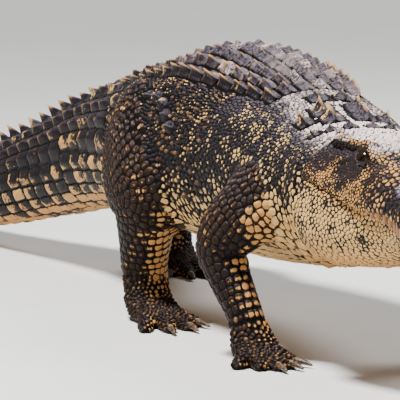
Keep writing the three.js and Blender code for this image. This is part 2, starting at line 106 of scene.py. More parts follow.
# the eye's share of the head's length, then its place and size
EYE_AT, EYE_OUT, EYE_LEVEL, EYE_RADIUS = 0.725, 0.049, 0.062, 0.016
# each tooth on either side: share of the head's length, then width and length in mm
UPPER_TEETH = ((0.035, 7, 10), (0.075, 8, 13), (0.115, 8, 12), (0.235, 8, 12), (0.265, 8, 15), (0.297, 11, 22),
               (0.335, 9, 15), (0.378, 8, 13), (0.422, 9, 14), (0.468, 8, 13), (0.514, 8, 12), (0.56, 7, 10))
LOWER_TEETH = ((0.032, 8, 13), (0.17, 10, 22), (0.2, 7, 11))
# feet: full length of a toe, half length and half width of the ball, half thickness of a toe; each toe's turn
# inwards in degrees, from the inner toe on, and its share of the full length
FRONT_FOOT = {"toe": 0.058, "ball": 0.030, "thick": 0.0105, "half": 0.034,
              "spread": (32, 15, 0, -17, -42), "reach": (0.78, 0.98, 1.08, 0.95, 0.78)}
HIND_FOOT = {"toe": 0.112, "ball": 0.040, "thick": 0.012, "half": 0.038,
             "spread": (16, 3, -10, -24), "reach": (0.72, 0.95, 1.05, 0.98)}
# legs: each joint's place from the hips, then half sizes fore and aft and across, all in mm
LEGS = {
    "foreleg_right": {"side": -1, "heading": 2, "foot": FRONT_FOOT, "joints": (
        (634, -80, 250, 58, 44), (608, -136, 207, 56, 42), (574, -164, 158, 45, 38),
        (588, -160, 116, 34, 32), (620, -148, 62, 28, 27), (632, -142, 26, 29, 30))},
    "foreleg_left": {"side": 1, "heading": -4, "foot": FRONT_FOOT, "joints": (
        (626, 60, 250, 58, 44), (660, 112, 207, 56, 42), (676, 146, 160, 45, 38),
        (714, 148, 118, 34, 32), (774, 138, 62, 28, 27), (796, 132, 26, 29, 30))},
    "hindleg_right": {"side": -1, "heading": 2, "foot": HIND_FOOT, "joints": (
        (20, -46, 248, 90, 62), (132, -116, 230, 102, 62), (222, -146, 188, 78, 52),
        (214, -144, 138, 49, 43), (194, -138, 76, 35, 36), (202, -136, 32, 34, 34))},
    "hindleg_left": {"side": 1, "heading": -5, "foot": HIND_FOOT, "joints": (
        (-4, 50, 246, 82, 60), (-94, 92, 210, 74, 50), (-180, 106, 158, 58, 44),
        (-230, 100, 122, 44, 40), (-286, 88, 74, 34, 34), (-292, 86, 34, 34, 34))},
}
FORELEGS = 2  # which come first
LEG_STEPS, FOOT_STEPS = 61, 8  # places along a leg's line, and those at its end that belong to the foot
CLAWED = 3  # toes of each foot that have a claw, from the inner one
CLAW = {"root": 0.009, "level": 0.0085, "long": 0.033, "thick": 0.0098}  # root: how far within the toe's end
# the crest's two rows start behind the hips, merge and end; spread is their angle from the back at the start
CREST = {"start": -0.096, "merge": -0.800, "end": -1.430, "spread": 0.7}
WHORL = (0.050, 0.027)  # length of a ring of tail scales, at the hips and at the tip
LEG_ROW = 0.0128  # from one ring of scales to the next down a leg
FLOOR_GAP = 0.0006  # the hide and the plates stop this far over the floor
BAKE_PATCH = 0.0015  # half the width of a scale's patch on its bake map


def along(table, column, at):
    """The value of one column at places between a table's stations, on a smooth curve through them."""
    x, v = table[:, 0], table[:, column]
    slope = np.empty_like(v)
    slope[1:-1] = (v[2:] - v[:-2]) / (x[2:] - x[:-2])
    slope[[0, -1]] = (v[1] - v[0]) / (x[1] - x[0]), (v[-1] - v[-2]) / (x[-1] - x[-2])
    i = np.clip(np.searchsorted(x, at, side="right") - 1, 0, len(x) - 2)
    span = x[i + 1] - x[i]
    t = np.clip((at - x[i]) / span, 0, 1)
    return ((1 + 2 * t) * (1 - t) ** 2 * v[i] + t * (1 - t) ** 2 * span * slope[i]
            + t * t * (3 - 2 * t) * v[i + 1] + t * t * (t - 1) * span * slope[i + 1])


def smooth(low, high, value):
    """0 under low, 1 over high, and a soft step between."""
    t = np.clip((value - low) / (high - low), 0, 1)
    return t * t * (3 - 2 * t)


def unit(v):
    """Vectors at length 1."""
    return v / np.maximum(np.linalg.norm(v, axis=-1, keepdims=True), 1e-12)


def dot(a, b):
    """Products of vectors, one to one."""
    return (a * b).sum(-1)


def rise(s):
    """The slope of the spine."""
    return (along(BODY, AXIS, s + 0.001) - along(BODY, AXIS, s - 0.001)) / 0.002


def walk_spine():
    """The spine's line from above, walked in small steps from the hips."""
    lines = []
    for way, length in ((1, SKULL_BACK), (-1, -TAIL_END)):
        s = way * SPINE_STEP * np.arange(int(length / SPINE_STEP) + 3)
        middle = s[:-1] + way * SPINE_STEP / 2
        turn = np.radians(along(BODY, TURN, middle))
        level = way * SPINE_STEP * np.sqrt(1 - rise(middle) ** 2)
        x = np.concatenate(([0], np.cumsum(np.cos(turn) * level)))
        y = np.concatenate(([0], np.cumsum(np.sin(turn) * level)))
        lines.append(np.stack((s, x, y), -1))
    return np.concatenate((lines[1][:0:-1], lines[0]))


SPINE = walk_spine()


def spine(s):
    """The spine's place, and the directions left and up from it."""
    s = np.asarray(s, float)
    turn, slope = np.radians(along(BODY, TURN, s)), rise(s)
    place = np.stack([np.interp(s, SPINE[:, 0], SPINE[:, i]) for i in (1, 2)] + [along(BODY, AXIS, s)], -1)
    left = np.stack((-np.sin(turn), np.cos(turn), np.zeros_like(s)), -1)
    up = np.stack((-np.cos(turn) * slope, -np.sin(turn) * slope, np.sqrt(1 - slope ** 2)), -1)
    return place + ORIGIN, left, up


def squared(value, full):
    """A cosine or sine, drawn out so that its round becomes squarer."""
    return np.sign(value) * np.abs(value) ** (2 / full)


def off_back(angle):
    """How far an angle round the body is from the back, on either side."""
    return np.abs((angle - BACK + math.pi) % (2 * math.pi) - math.pi)


def on_body(s, angle, grow):
    """A point of the body's surface, grown outwards: angle 0 is the left side, a quarter turn the back."""
    place, left, up = spine(s)
    full = along(BODY, FULL, s)
    tall = np.where(np.sin(angle) > 0, along(BODY, UP, s), along(BODY, DOWN, s)) + grow
    out = squared(np.cos(angle), full) * (along(BODY, WIDE, s) + grow)
    return place + left * out[..., None] + up * (squared(np.sin(angle), full) * tall)[..., None]


def body_place(points):
    """Place along the spine, angle round it and closeness (1 on the surface) of any points."""
    s = np.interp(points[:, 0] - ORIGIN[0], SPINE[:, 1], SPINE[:, 0])
    for _ in range(7):  # damped steps towards the station that is square to the point
        place, left, up = spine(s)
        s = np.clip(s + 0.85 * dot(points - place, np.cross(left, up)), TAIL_END, 0.9)
    place, left, up = spine(s)
    out, high = dot(points - place, left), dot(points - place, up)
    wide = along(BODY, WIDE, s)
    tall = np.where(high > 0, along(BODY, UP, s), along(BODY, DOWN, s))
    full = along(BODY, FULL, s)
    share_out, share_high = np.abs(out / wide), np.abs(high / tall)
    angle = np.arctan2(np.sign(high) * share_high ** (full / 2), np.sign(out) * share_out ** (full / 2))
    near = (share_out ** full + share_high ** full) ** (1 / full)
    return s, angle % (2 * math.pi), near


HEAD_BACK = spine(SKULL_BACK)[0] * (1, 1, 0) + (0, HEAD_LEFT, MOUTH_LEVEL)
HEAD_AXES = np.array(((math.cos(HEAD_TURN), math.sin(HEAD_TURN), 0),
                      (-math.sin(HEAD_TURN), math.cos(HEAD_TURN), 0), (0, 0, 1)))


def in_head(at, left, level):
    """The place of a point that is given as share from the snout tip, left of the middle and above the mouth."""
    parts = np.broadcast_arrays((1 - np.asarray(at, float)) * HEAD_LENGTH, left, level)
    return np.stack(parts, -1) @ HEAD_AXES + HEAD_BACK


def head_place(points):
    """Share from the snout tip, out to the left and level above the mouth of any points."""
    ahead, left, level = ((points - HEAD_BACK) @ HEAD_AXES.T).T
    return 1 - ahead / HEAD_LENGTH, left, level


def over_lip(at, level):
    """How far a level is over the lip: below 0 on the lower jaw."""
    return level - along(HEAD, LIP, at)


# ---- forms as closed tubes ----
def grid_quads(rows, columns, closed=True):
    """Quads between the points of a grid, whose rows may close into rings."""
    i, j = np.meshgrid(np.arange(rows - 1), np.arange(columns if closed else columns - 1), indexing="ij")
    here, after = i * columns, (j + 1) % columns
    return np.stack((here + j, here + after, here + columns + after, here + columns + j), -1).reshape(-1, 4)


def fan(middle, sides, first):
    """Triangles from a middle point to a ring of points that starts at first."""
    j = np.arange(sides)
    return np.stack((np.full(sides, middle), first + j, first + (j + 1) % sides), -1)


def tube(rings):
    """Points, triangles and quads of a closed surface through rings of equal point counts."""
    count, sides = rings.shape[:2]
    points = np.concatenate((rings.reshape(-1, 3), rings[0].mean(0)[None], rings[-1].mean(0)[None]))
    points[:, 2] = np.maximum(points[:, 2], 0.0)
    end = count * sides
    ends = np.concatenate((fan(end, sides, 0)[:, (0, 2, 1)], fan(end + 1, sides, end - sides)))
    return points, ends, grid_quads(count, sides)


def body_depth(s, angle):
    """How far the hide lies under the outline: deepest under the dorsal plates."""
    shield = smooth(0.98, 0.72, off_back(angle)) * smooth(-0.12, 0.05, s) * smooth(0.60, 0.50, s)
    return INSET["tip"] + INSET["trunk"] * smooth(-1.42, -1.0, s) + INSET["shield"] * shield


def body_form():
    """The body from the tail's end, bent softly over to the neck's front and a little way into the head."""
    s = np.linspace(TAIL_END, BODY_END, 620)[:, None]
    angle = np.linspace(0, 2 * math.pi, 120, endpoint=False)[None, :]
    s, angle = np.broadcast_arrays(s, angle)
    rings = on_body(s, angle, -body_depth(s, angle))
    neck = NECK_FRONT
    angle = angle[0]
    wide = neck["wide"] - INSET["neck"]
    tall = np.where(np.sin(angle) > 0, neck["up"], neck["down"]) - INSET["neck"]
    front = in_head(1 - neck["ahead"] / HEAD_LENGTH, squared(np.cos(angle), neck["full"]) * wide,
                    neck["level"] + squared(np.sin(angle), neck["full"]) * tall)
    step = rings[-1] - rings[-2]
    t = np.linspace(0, 1, 12)[1:, None, None]
    reach = np.linalg.norm((front - rings[-1]).mean(0)) / np.linalg.norm(step.mean(0))
    bend = (2 * t ** 3 - 3 * t ** 2 + 1) * rings[-1] + (t ** 3 - 2 * t ** 2 + t) * step * reach
    bend = bend + (3 * t ** 2 - 2 * t ** 3) * front
    middle = front.mean(0)
    inner = middle + (front - middle) * 0.8 + HEAD_AXES[0] * 0.03
    return tube(np.concatenate((rings, bend, inner[None])))


def mirrored(at, out, level):
    """A ring of the head from the outline of its left half, given from the top to the bottom."""
    out = np.concatenate((out, -out[1:-1][::-1]))
    level = np.concatenate((level, level[1:-1][::-1]))
    return in_head(at, out, level)


def upper_ring(at):
    """The outline of the upper jaw or skull at a place along the head."""
    thin = INSET["head"]
    jaw, top, lip, flat, side = (float(along(HEAD, key, at)) for key in (JAW, TOP, LIP, FLAT, SIDE))
    jaw, top, flat, edge = jaw - thin, top - thin, min(flat, jaw - 2 * thin), lip + LIP_EDGE
    angle = np.linspace(0, math.pi / 2, 26)
    out = flat + (jaw - flat) * np.sin(angle) ** (2 / side)
    level = edge + (top - edge) * np.cos(angle) ** (2 / side)
    across = np.linspace(0, flat, 9)[:-1]
    inner = np.linspace(jaw - LIP_EDGE / 2, 0, 12)
    level = np.concatenate((across * 0 + top, level, inner * 0 + lip))
    return mirrored(at, np.concatenate((across, out, inner)), level)


def lower_ring(at):
    """The outline of the lower jaw at a place along the head."""
    thin = INSET["head"]
    chin, under, lip, cheek = (float(along(HEAD, key, at)) for key in (CHIN, UNDER, LIP, CHEEK))
    chin, under, edge = chin - thin, under + thin, lip - LIP_EDGE / 2
    angle = np.linspace(0, math.pi / 2, 30)
    out = chin * np.cos(angle) ** 0.7 + cheek * np.sin(2 * angle)
    level = edge + (under - edge) * np.sin(angle) ** 0.8
    inner = np.linspace(0, chin - LIP_EDGE / 2, 12)
    out[-1] = 0
    return mirrored(at, np.concatenate((inner, out)), np.concatenate((inner * 0 + lip - 0.0003, level)))


def head_forms():
    """The upper jaw and skull, and the lower jaw, which starts a little behind the snout tip."""
    stations = HEAD_END * np.linspace(0.0, 1, 130) ** 1.15
    upper = np.stack([upper_ring(at) for at in stations])
    lower = np.stack([lower_ring(at) for at in stations[4:]])
    return tube(upper), tube(lower)


def leg_line(leg):
    """Place, way, fore and across directions and half sizes at even steps down a leg."""
    joints = np.array(leg["joints"], float) * 0.001
    table = np.column_stack((np.arange(len(joints)), joints))
    k = np.linspace(0, len(joints) - 1, LEG_STEPS)
    values = np.stack([along(table, c, k) for c in range(1, 6)], -1)
    place = values[:, :3] + ORIGIN
    way = unit(np.stack([along(table, c, k + 0.5) - along(table, c, k - 0.5) for c in (1, 2, 3)], -1))
    across = unit(np.array((0.0, 1.0, 0.0)) - way * way[:, 1:2])
    return k, place, way, np.cross(across, way), across, values[:, 3], values[:, 4]


def leg_form(leg):
    """A leg, without its foot."""
    _, place, _, fore, across, deep, wide = leg_line(leg)
    deep, wide = (half[:, None, None] - INSET["leg"] for half in (deep, wide))
    angle = np.linspace(0, 2 * math.pi, 48, endpoint=False)[None, :, None]
    return tube(place[:, None] + fore[:, None] * np.cos(angle) * deep + across[:, None] * np.sin(angle) * wide)


def level_way(degrees):
    """A level direction, turned to the left from straight ahead."""
    turn = math.radians(degrees)
    return np.array((math.cos(turn), math.sin(turn), 0.0))


def level_form(start, way, stations):
    """A level form along a way: each station is how far out, how high, and half its thickness and width."""
    table = np.array(stations, float)
    at = np.linspace(table[0, 0], table[-1, 0], 28)
    high, thick, wide = (along(table, c, at)[:, None] for c in (1, 2, 3))
    angle = np.linspace(0, 2 * math.pi, 28, endpoint=False)[None, :]
    side_way = np.array((-way[1], way[0], 0.0))
    flat = start * (1, 1, 0) + way * at[:, None, None] + side_way * (np.cos(angle) * wide)[..., None]
    return tube(flat + np.array((0, 0, 1.0)) * (high + np.sin(angle) * thick)[..., None])


def toe_line(leg, digit):
    """Where a toe starts within the ball of the foot, its way and its length."""
    foot = leg["foot"]
    way = level_way(leg["heading"] - leg["side"] * foot["spread"][digit])
    in_ball = foot["ball"] * 0.35
    start = np.array(leg["joints"][-1][:3]) * 0.001 * (1, 1, 0) + ORIGIN + way * in_ball
    return start, way, foot["toe"] * foot["reach"][digit] + foot["ball"] - in_ball


def foot_forms(leg):
    """The toes, each with its knuckles, and the ball of the foot."""
    foot = leg["foot"]
    thick, ball, half = foot["thick"], foot["ball"], foot["half"] - INSET["foot"]
    for digit in range(len(foot["spread"])):
        start, way, long = toe_line(leg, digit)
        yield level_form(start, way, (
            (0, 0.013, 1.15 * thick, 1.15 * thick), (0.38 * long, 0.0115, 0.92 * thick, 0.86 * thick),
            (0.55 * long, 0.0105, 1.0 * thick, 0.95 * thick), (0.74 * long, 0.008, 0.82 * thick, 0.80 * thick),
            (0.86 * long, 0.006, 0.80 * thick, 0.80 * thick), (0.97 * long, 0.003, 0.55 * thick, 0.55 * thick),
            (long, 0.001, 0.3 * thick, 0.3 * thick)))
    start = np.array(leg["joints"][-1][:3]) * 0.001 + ORIGIN
    yield level_form(start, level_way(leg["heading"]), (
        (-0.4 * ball, 0.025, 0.024, 0.75 * half), (0.35 * ball, 0.018, 0.024, half),
        (1.4 * ball, 0.010, 0.010, 0.93 * half)))


# ---- the hide: the forms joined into one smooth surface ----
VOXEL = 0.0025
BAND = 12.0  # how far the field reaches from the surface, in voxels
# the room that the field covers, in voxels: the solids with a little round them
GRID_LOW = np.floor(np.array((-1.33, -0.215, -0.012)) / VOXEL).astype(int)
GRID_HIGH = np.ceil(np.array((1.33, 0.215, 0.43)) / VOXEL).astype(int)


def level_set(form, low, high):
    """Distances from a form's surface over the voxels between two corners."""
    points, triangles, quads = form
    grid = openvdb.FloatGrid.createLevelSetFromPolygons(
        points.astype(np.float32), triangles.astype(np.uint32), quads.astype(np.uint32),
        openvdb.createLinearTransform(voxelSize=VOXEL), BAND)
    array = np.empty(high - low, np.float32)
    grid.copyToArray(array, ijk=tuple(int(v) for v in low))
    return array


def room_of(points, room=12):
    """Corners of the voxels round some points, within the field."""
    low = np.maximum(np.floor(points.min(0) / VOXEL).astype(int) - room, GRID_LOW)
    high = np.minimum(np.ceil(points.max(0) / VOXEL).astype(int) + room, GRID_HIGH)
    return low, high


def box_of(low, high):
    """The part of the field between two corners."""
    return tuple(slice(a - g, b - g) for a, b, g in zip(low, high, GRID_LOW))


def soft_min(a, b, blend):
    """The nearer of two surfaces, with a soft fillet where they meet, none deep inside or far outside."""
    low = np.minimum(a, b)
    share = np.clip(1 - np.abs(a - b) / blend, 0, 1) * np.clip(2 - 2.5 * low / (BAND * VOXEL), 0, 1)
    return low - share * share * blend * 0.25


def add_form(field, form, blend):
    """Joins a form into the field, with a soft fillet of that size."""
    low, high = room_of(form[0])
    box = box_of(low, high)
    field[box] = soft_min(field[box], level_set(form, low, high), blend)


MOUTH_CORNER = 0.61  # share of the head's length where the open line between the lips ends
EYE_WAY = (0.68, 0.65, 0.33)  # ahead, out, up
# the opening's half length and heights in radians, its tilt in degrees, and how far the hide's own hole is wider
LID = {"long": 1.18, "above": 0.53, "below": 0.44, "tilt": -18, "under": 0.16}
LID_BALL, LID_SIDES = 0.0176, 56
# the lids' rings: share of the way from the rim to the outer edge, and distance from the eye's middle, in mm
LID_RINGS = ((0.0, 15.2), (0.02, 16.2), (0.07, 17.0), (0.13, 17.5), (0.20, 17.1), (0.27, 17.8), (0.36, 18.4),
             (0.46, 18.0), (0.58, 16.0))
LID_POINTS = 2 * LID_SIDES * len(LID_RINGS)  # of both eyes' lids: the last points of the hide's mesh


def eye_axes(side):
    """The eye's middle and the directions out of it, forwards and up along its opening."""
    ahead, out, up = EYE_WAY
    middle = in_head(EYE_AT, side * EYE_OUT, EYE_LEVEL)
    gaze = unit(np.array((ahead, side * out, up)) @ HEAD_AXES)
    tilt = math.radians(LID["tilt"])
    fore = HEAD_AXES[0] * math.cos(tilt) + HEAD_AXES[2] * math.sin(tilt)
    fore = unit(fore - gaze * dot(fore, gaze))
    above = np.cross(gaze, fore)
    return middle, gaze, fore, above * np.sign(above[2])


def round_eye(points, side):
    """Places round an eye: the angles forwards and up from the gaze, and the distance from its middle."""
    middle, gaze, fore, above = eye_axes(side)
    off = points - middle
    far = np.linalg.norm(off, axis=1)
    polar = np.arccos(np.clip(dot(off, gaze) / np.maximum(far, 1e-9), -1, 1))
    x, y = dot(off, fore), dot(off, above)
    across = np.maximum(np.hypot(x, y), 1e-9)
    return np.stack((polar * x / across, polar * y / across), -1), far


def cut_mouth(field):
    """Opens the mouth's line between the lips, and makes the lids' balls with their openings."""
    low, high = room_of(in_head(np.array((-0.03, 1.04)), np.array((-0.12, 0.12)), np.array((-0.1, 0.1))), 4)
    axes = [np.arange(a, b) * VOXEL for a, b in zip(low, high)]
    part = field[box_of(low, high)]
    close = np.nonzero(np.abs(part) < 0.02)
    points = np.stack([axis[i] for axis, i in zip(axes, close)], -1)
    at, _, level = head_place(points)
    value = part[close]
    gape = 0.0015 * smooth(0.0, 0.05, at) - 0.0009 * smooth(0.44, 0.60, at)
    slit = np.maximum(np.abs(over_lip(at, level)) - gape, (at - MOUTH_CORNER) * HEAD_LENGTH)
    slit = np.maximum(slit, -value - 0.004 - 0.003 * smooth(0.02, 0.1, at))
    value = np.maximum(value, -slit)
    for side in (-1, 1):
        flat, far = round_eye(points, side)
        ball = far - (LID_BALL + 0.0008 * smooth(-0.3, 0.6, flat[:, 1]))
        value = np.where(far < 0.034, soft_min(value, ball, 0.009), value)
        tall = np.where(flat[:, 1] > 0, LID["above"], LID["below"]) + LID["under"]
        opening = (np.hypot(flat[:, 0] / (LID["long"] + LID["under"]), flat[:, 1] / tall) - 1) * 0.008
        value = np.maximum(value, -np.maximum(opening, np.maximum(0.010 - far, far - 0.025)))
    part[close] = value


def quad_edges(quads):
    """Both ends of every side of the quads."""
    return np.concatenate([quads[:, (i, (i + 1) % 4)] for i in range(4)]).T


def even_out(points, quads, rounds):
    """Takes the small steps out of a surface without shrinking it."""
    a, b = quad_edges(quads)
    count = len(points)
    degree = np.bincount(a, minlength=count)[:, None]
    for share in (0.5, -0.53) * rounds:  # in towards the neighbours' middle, and back out
        around = np.stack([np.bincount(a, points[b, i], count) for i in range(3)], -1) / degree
        points = points + share * (around - points)
    return points


def largest_island(points, quads):
    """The points and quads of the largest joined part of a surface."""
    a, b = quad_edges(quads)
    label = np.arange(len(points))
    while True:
        low = label.copy()
        np.minimum.at(low, label[a], label[b])
        low = low[low]
        low = np.minimum(low, low[low])
        if (low == label).all():
            break
        label = low
    kept = label == np.bincount(label).argmax()
    number = np.cumsum(kept) - 1
    return points[kept], number[quads[kept[quads[:, 0]]]]


# the fillets where forms join
BLEND = {"alone": 0.001, "toe": 0.012, "leg": 0.030, "jaw": 0.015, "skull": 0.007}
HIDE_KEPT = 0.235  # share of the hide's faces that is kept


def empty_field():
    """A field with nothing in it yet."""
    return np.full(GRID_HIGH - GRID_LOW, BAND * VOXEL, np.float32)


def hide_surface():
    """Points and quads of the whole hide."""
    field = empty_field()
    add_form(field, body_form(), BLEND["alone"])
    for leg in LEGS.values():
        limb = empty_field()
        add_form(limb, leg_form(leg), BLEND["alone"])
        for form in foot_forms(leg):
            add_form(limb, form, BLEND["toe"])
        field = soft_min(field, limb, BLEND["leg"])
    upper, lower = head_forms()
    add_form(field, lower, BLEND["jaw"])
    add_form(field, upper, BLEND["skull"])
    cut_mouth(field)
    grid = openvdb.FloatGrid()
    grid.background = BAND * VOXEL
    grid.transform = openvdb.createLinearTransform(voxelSize=VOXEL)
    grid.copyFromArray(field, ijk=tuple(int(v) for v in GRID_LOW))
    points, _, quads = grid.convertToPolygons(isovalue=0.0, adaptivity=0.0)
    quads = np.asarray(quads, int)
    return largest_island(even_out(np.asarray(points, float), quads, 8), quads)


# ---- modelling of the head: strokes along its surface, the same on both sides ----
# each is a line of (share from the snout tip, out, level), its width and how far it raises the hide, in mm
RIM = ((1.0, 60, 87), (0.90, 56, 87), (0.80, 53, 87), (0.73, 50, 85), (0.67, 47, 76), (0.635, 44, 68))
EAR = ((0.98, 72, 71), (0.90, 66, 74), (0.83, 61, 75), (0.79, 58, 76))
NOSTRIL = ((0.040, 8, 37), (0.058, 11, 38))
STROKES = (
    (RIM, 6, 5.5),  # the skull's raised rim over the eye and ear
    (((1.0, 61, 87), (0.985, 61, 88)), 8, 6),  # its hind corner
    (EAR, 5.5, -7),  # ear's groove
    (((0.76, 62, 66), (0.82, 72, 60), (0.89, 83, 52)), 4.5, 2.6),  # folds behind the eye
    (((0.79, 66, 52), (0.85, 78, 46), (0.91, 90, 42)), 4, 2.2),
    (((0.775, 63, 59), (0.83, 74, 53), (0.90, 86, 47)), 3.2, -2.4),
    (((0.66, 56, 48), (0.70, 64, 42), (0.75, 69, 42), (0.785, 67, 50)), 5, 2.4),  # rim under the eye
    (((0.655, 53, 55), (0.68, 60, 49), (0.72, 66, 48)), 2.5, -2.0),
    (((0.64, 70, 34), (0.76, 84, 31), (0.88, 97, 34), (0.97, 105, 41)), 9, 3.5),  # cheek bone
    (((0.62, 74, 15), (0.75, 86, 17), (0.90, 100, 27)), 5, -2.5),  # groove over the lip
    (((1.085, 110, 40), (1.10, 114, 0), (1.10, 108, -50), (1.09, 70, -93), (1.09, 30, -96)), 8, -8),  # jowl's crease
    (((1.17, 119, 40), (1.18, 120, -10), (1.18, 112, -60), (1.17, 70, -92)), 9, -4.5),
    (((1.26, 119, 30), (1.28, 119, -20), (1.27, 108, -66)), 10, -3),
    (((1.0, 113, -28), (0.97, 108, -40)), 34, 4),  # jaw muscle
    (((0.46, 42, -20), (0.62, 58, -28), (0.78, 80, -40)), 9, 2.2),  # jaw's lower edge
    (((0.66, 38, 78), (0.55, 25, 58), (0.42, 15, 46), (0.34, 13, 43)), 6, 2.4),  # snout ridges
    (((0.58, 0, 62), (0.50, 0, 52)), 14, 3.5),
    (((0.76, 0, 86), (0.70, 0, 84)), 17, -3.5),  # between the eyes
    (((0.92, 25, 86), (0.86, 25, 86)), 9, -2.5),  # skull openings
    (((0.045, 10, 33), (0.06, 10, 35)), 8, 4),  # nostril mounds
    (NOSTRIL, 3.5, -9),
    (((0.297, 46, 6), (0.29, 45, 14)), 12, 3),  # over the largest tooth
    (((0.235, 38, 8), (0.17, 30, 18)), 8, -2),
    (((0.45, 54, 12), (0.56, 64, 14)), 8, 1.6),
)


def near_line(points, line):
    """Distance from points to a line through a few places."""
    best = np.full(len(points), 1e9)
    for a, b in pairwise(line):
        t = np.clip(dot(points - a, b - a) / dot(b - a, b - a), 0, 1)
        best = np.minimum(best, np.linalg.norm(points - a - t[:, None] * (b - a), axis=1))
    return best


def from_eye(where):
    """Distance from places to the middle of the eye on their side."""
    centre = in_head(EYE_AT, np.sign(where["left"]) * EYE_OUT, EYE_LEVEL)
    return np.linalg.norm(where["points"] - centre, axis=1)


def near_folded(where, line):
    """Distance from places on either side of the head to a line on it."""
    folded = np.stack(((1 - where["at"]) * HEAD_LENGTH, np.abs(where["left"]), where["level"]), -1)
    return near_line(folded, np.array([((1 - a) * HEAD_LENGTH, o * 0.001, u * 0.001) for a, o, u in line]))


def model_head(points):
    """How far each point of the hide is raised by the strokes, less the crease behind the mouth's corner."""
    at, left, level = head_place(points)
    head = np.nonzero((at < 1.4) & (at > -0.1))[0]
    at, left, level = at[head], left[head], level[head]
    where, raised = {"at": at, "left": left, "level": level}, np.zeros(len(points))
    for line, width, amount in STROKES:
        far = near_folded(where, line) / (width * 0.001)
        raised[head] += amount * 0.001 * np.exp(-far ** 2)
    crease = smooth(0.60, 0.68, at) * smooth(1.08, 1.0, at) * (np.abs(left) > 0.05)
    raised[head] -= 0.0055 * crease * np.exp(-(over_lip(at, level) / 0.0032) ** 2)
    return raised


# ---- where a point is, and how it is marked ----
def tree_of(points):
    """The points in a tree that finds the nearest of them."""
    tree = KDTree(len(points))
    for i, p in enumerate(points):
        tree.insert(p, i)
    tree.balance()
    return tree


def leg_sides(where):
    """Of the nearest leg: 1 on the left, -1 on the right."""
    return np.array([leg["side"] for leg in LEGS.values()])[where["which"]]


def leg_place(points):
    """The nearest leg of each point, its joint count k and distance down it, the way down, the turn and closeness."""
    best = np.full(len(points), 1e9)
    found = {"which": np.zeros(len(points), int), "k": np.zeros(len(points)), "way": np.zeros((len(points), 3)),
             "turn": np.zeros(len(points)), "down": np.zeros(len(points))}
    for number, leg in enumerate(LEGS.values()):
        k, place, way, fore, across, deep, wide = leg_line(leg)
        tree = tree_of(place)
        room = np.nonzero(np.all(points > place.min(0) - 0.12, 1) & np.all(points < place.max(0) + 0.15, 1))[0]
        if not len(room):
            continue
        nearest = np.array([tree.find(points[i])[1] for i in room], int)
        off = points[room] - place[nearest]
        f, a = dot(off, fore[nearest]) / deep[nearest], dot(off, across[nearest]) / wide[nearest]
        near = np.sqrt(f * f + a * a) + 3 * np.abs(dot(off, way[nearest])) * (nearest < LEG_STEPS - 1)
        foot = (points[room, 2] < 0.045) & (nearest > LEG_STEPS - FOOT_STEPS)
        near = np.where(foot, np.minimum(near, 0.5), near)
        better = near < best[room]
        rows, chosen = room[better], nearest[better]
        best[rows] = near[better]
        found["which"][rows] = number
        found["k"][rows] = k[chosen]
        found["turn"][rows] = np.arctan2(a, f)[better]
        run = np.concatenate(([0], np.cumsum(np.linalg.norm(np.diff(place, axis=0), axis=1))))
        found["down"][rows] = (run[nearest] + dot(off, way[nearest]))[better]
        found["way"][rows] = np.where(foot[better][:, None], level_way(leg["heading"]), way[chosen])
    found["near"] = best
    return found


def places(points):
    """Everything that the scales and the markings need to know of some points of the hide."""
    s, angle, body_near = body_place(points)
    at, left, level = head_place(points)
    found = leg_place(points)
    near = found.pop("near")
    ragged = 0.010 * np.sin(points[:, 1] * 230) * np.cos(points[:, 2] * 190 + points[:, 0] * 120)
    head = (at + ragged < HEAD_MEETS) & (at > -0.2) & (np.abs(left) < 0.14)
    fore = (found["which"] < FORELEGS) & (found["k"] > 0.4)
    in_reach = near < np.where(found["k"] > 1.2, 1.5, np.where(fore, 1.4, 1.12))
    nearer = (body_near > 1.04) | (near < body_near + np.where(fore, 0.15, 0.02))
    low_or_out = (points[:, 2] < 0.105) | (body_near > 0.99)
    leg = ~head & in_reach & nearer & (s > -0.40) & low_or_out
    return {"points": points, "s": s, "angle": angle, "back": np.degrees(off_back(angle)), "at": at, "left": left,
            "level": level, "head": head, "leg": leg, "body": ~head & ~leg, **found}


def lie(where, normals):
    """The way that the scales lie: back along the body, down the legs."""
    _, left, up = spine(where["s"])
    back = -np.cross(left, up)
    back = back - up * 0.25 * smooth(60, 110, where["back"])[:, None]
    back = np.where(where["head"][:, None], -HEAD_AXES[0] + (0, 0, -0.15), back)
    back = np.where(where["leg"][:, None], where["way"], back)
    return unit(back - normals * dot(back, normals)[:, None])


def body_marks(where):
    """The markings round the body: dark above and cream below, darker on the tail, weathered pale towards the nape,
    and a painted highlight over the top.
    """
    s, back = where["s"], where["back"]
    trunk = 0.26 + 0.57 * smooth(82, 150, back) - 0.16 * smooth(48, 20, back)
    tail = 0.02 + 0.36 * smooth(60, 118, back) + 0.22 * smooth(118, 165, back)
    neck = 0.34 + 0.52 * smooth(62, 140, back)
    pale = trunk + (tail - trunk) * smooth(-0.02, -0.14, s) + (neck - trunk) * smooth(0.50, 0.66, s)
    warm = 0.20 + 0.43 * smooth(120, 170, back) + 0.15 * smooth(0.55, 0.75, s) * smooth(80, 130, back)
    warm = warm + 0.30 * smooth(0.0, -0.15, s) * smooth(30, 80, back)
    # the third share: weathered pale skin towards the nape, and a painted highlight over the top of the back
    bleach_and_highlight = 0.46 * smooth(0.54, 0.74, s) * smooth(70, 14, back) + 0.42 * smooth(60, 15, back)
    return pale, warm, bleach_and_highlight


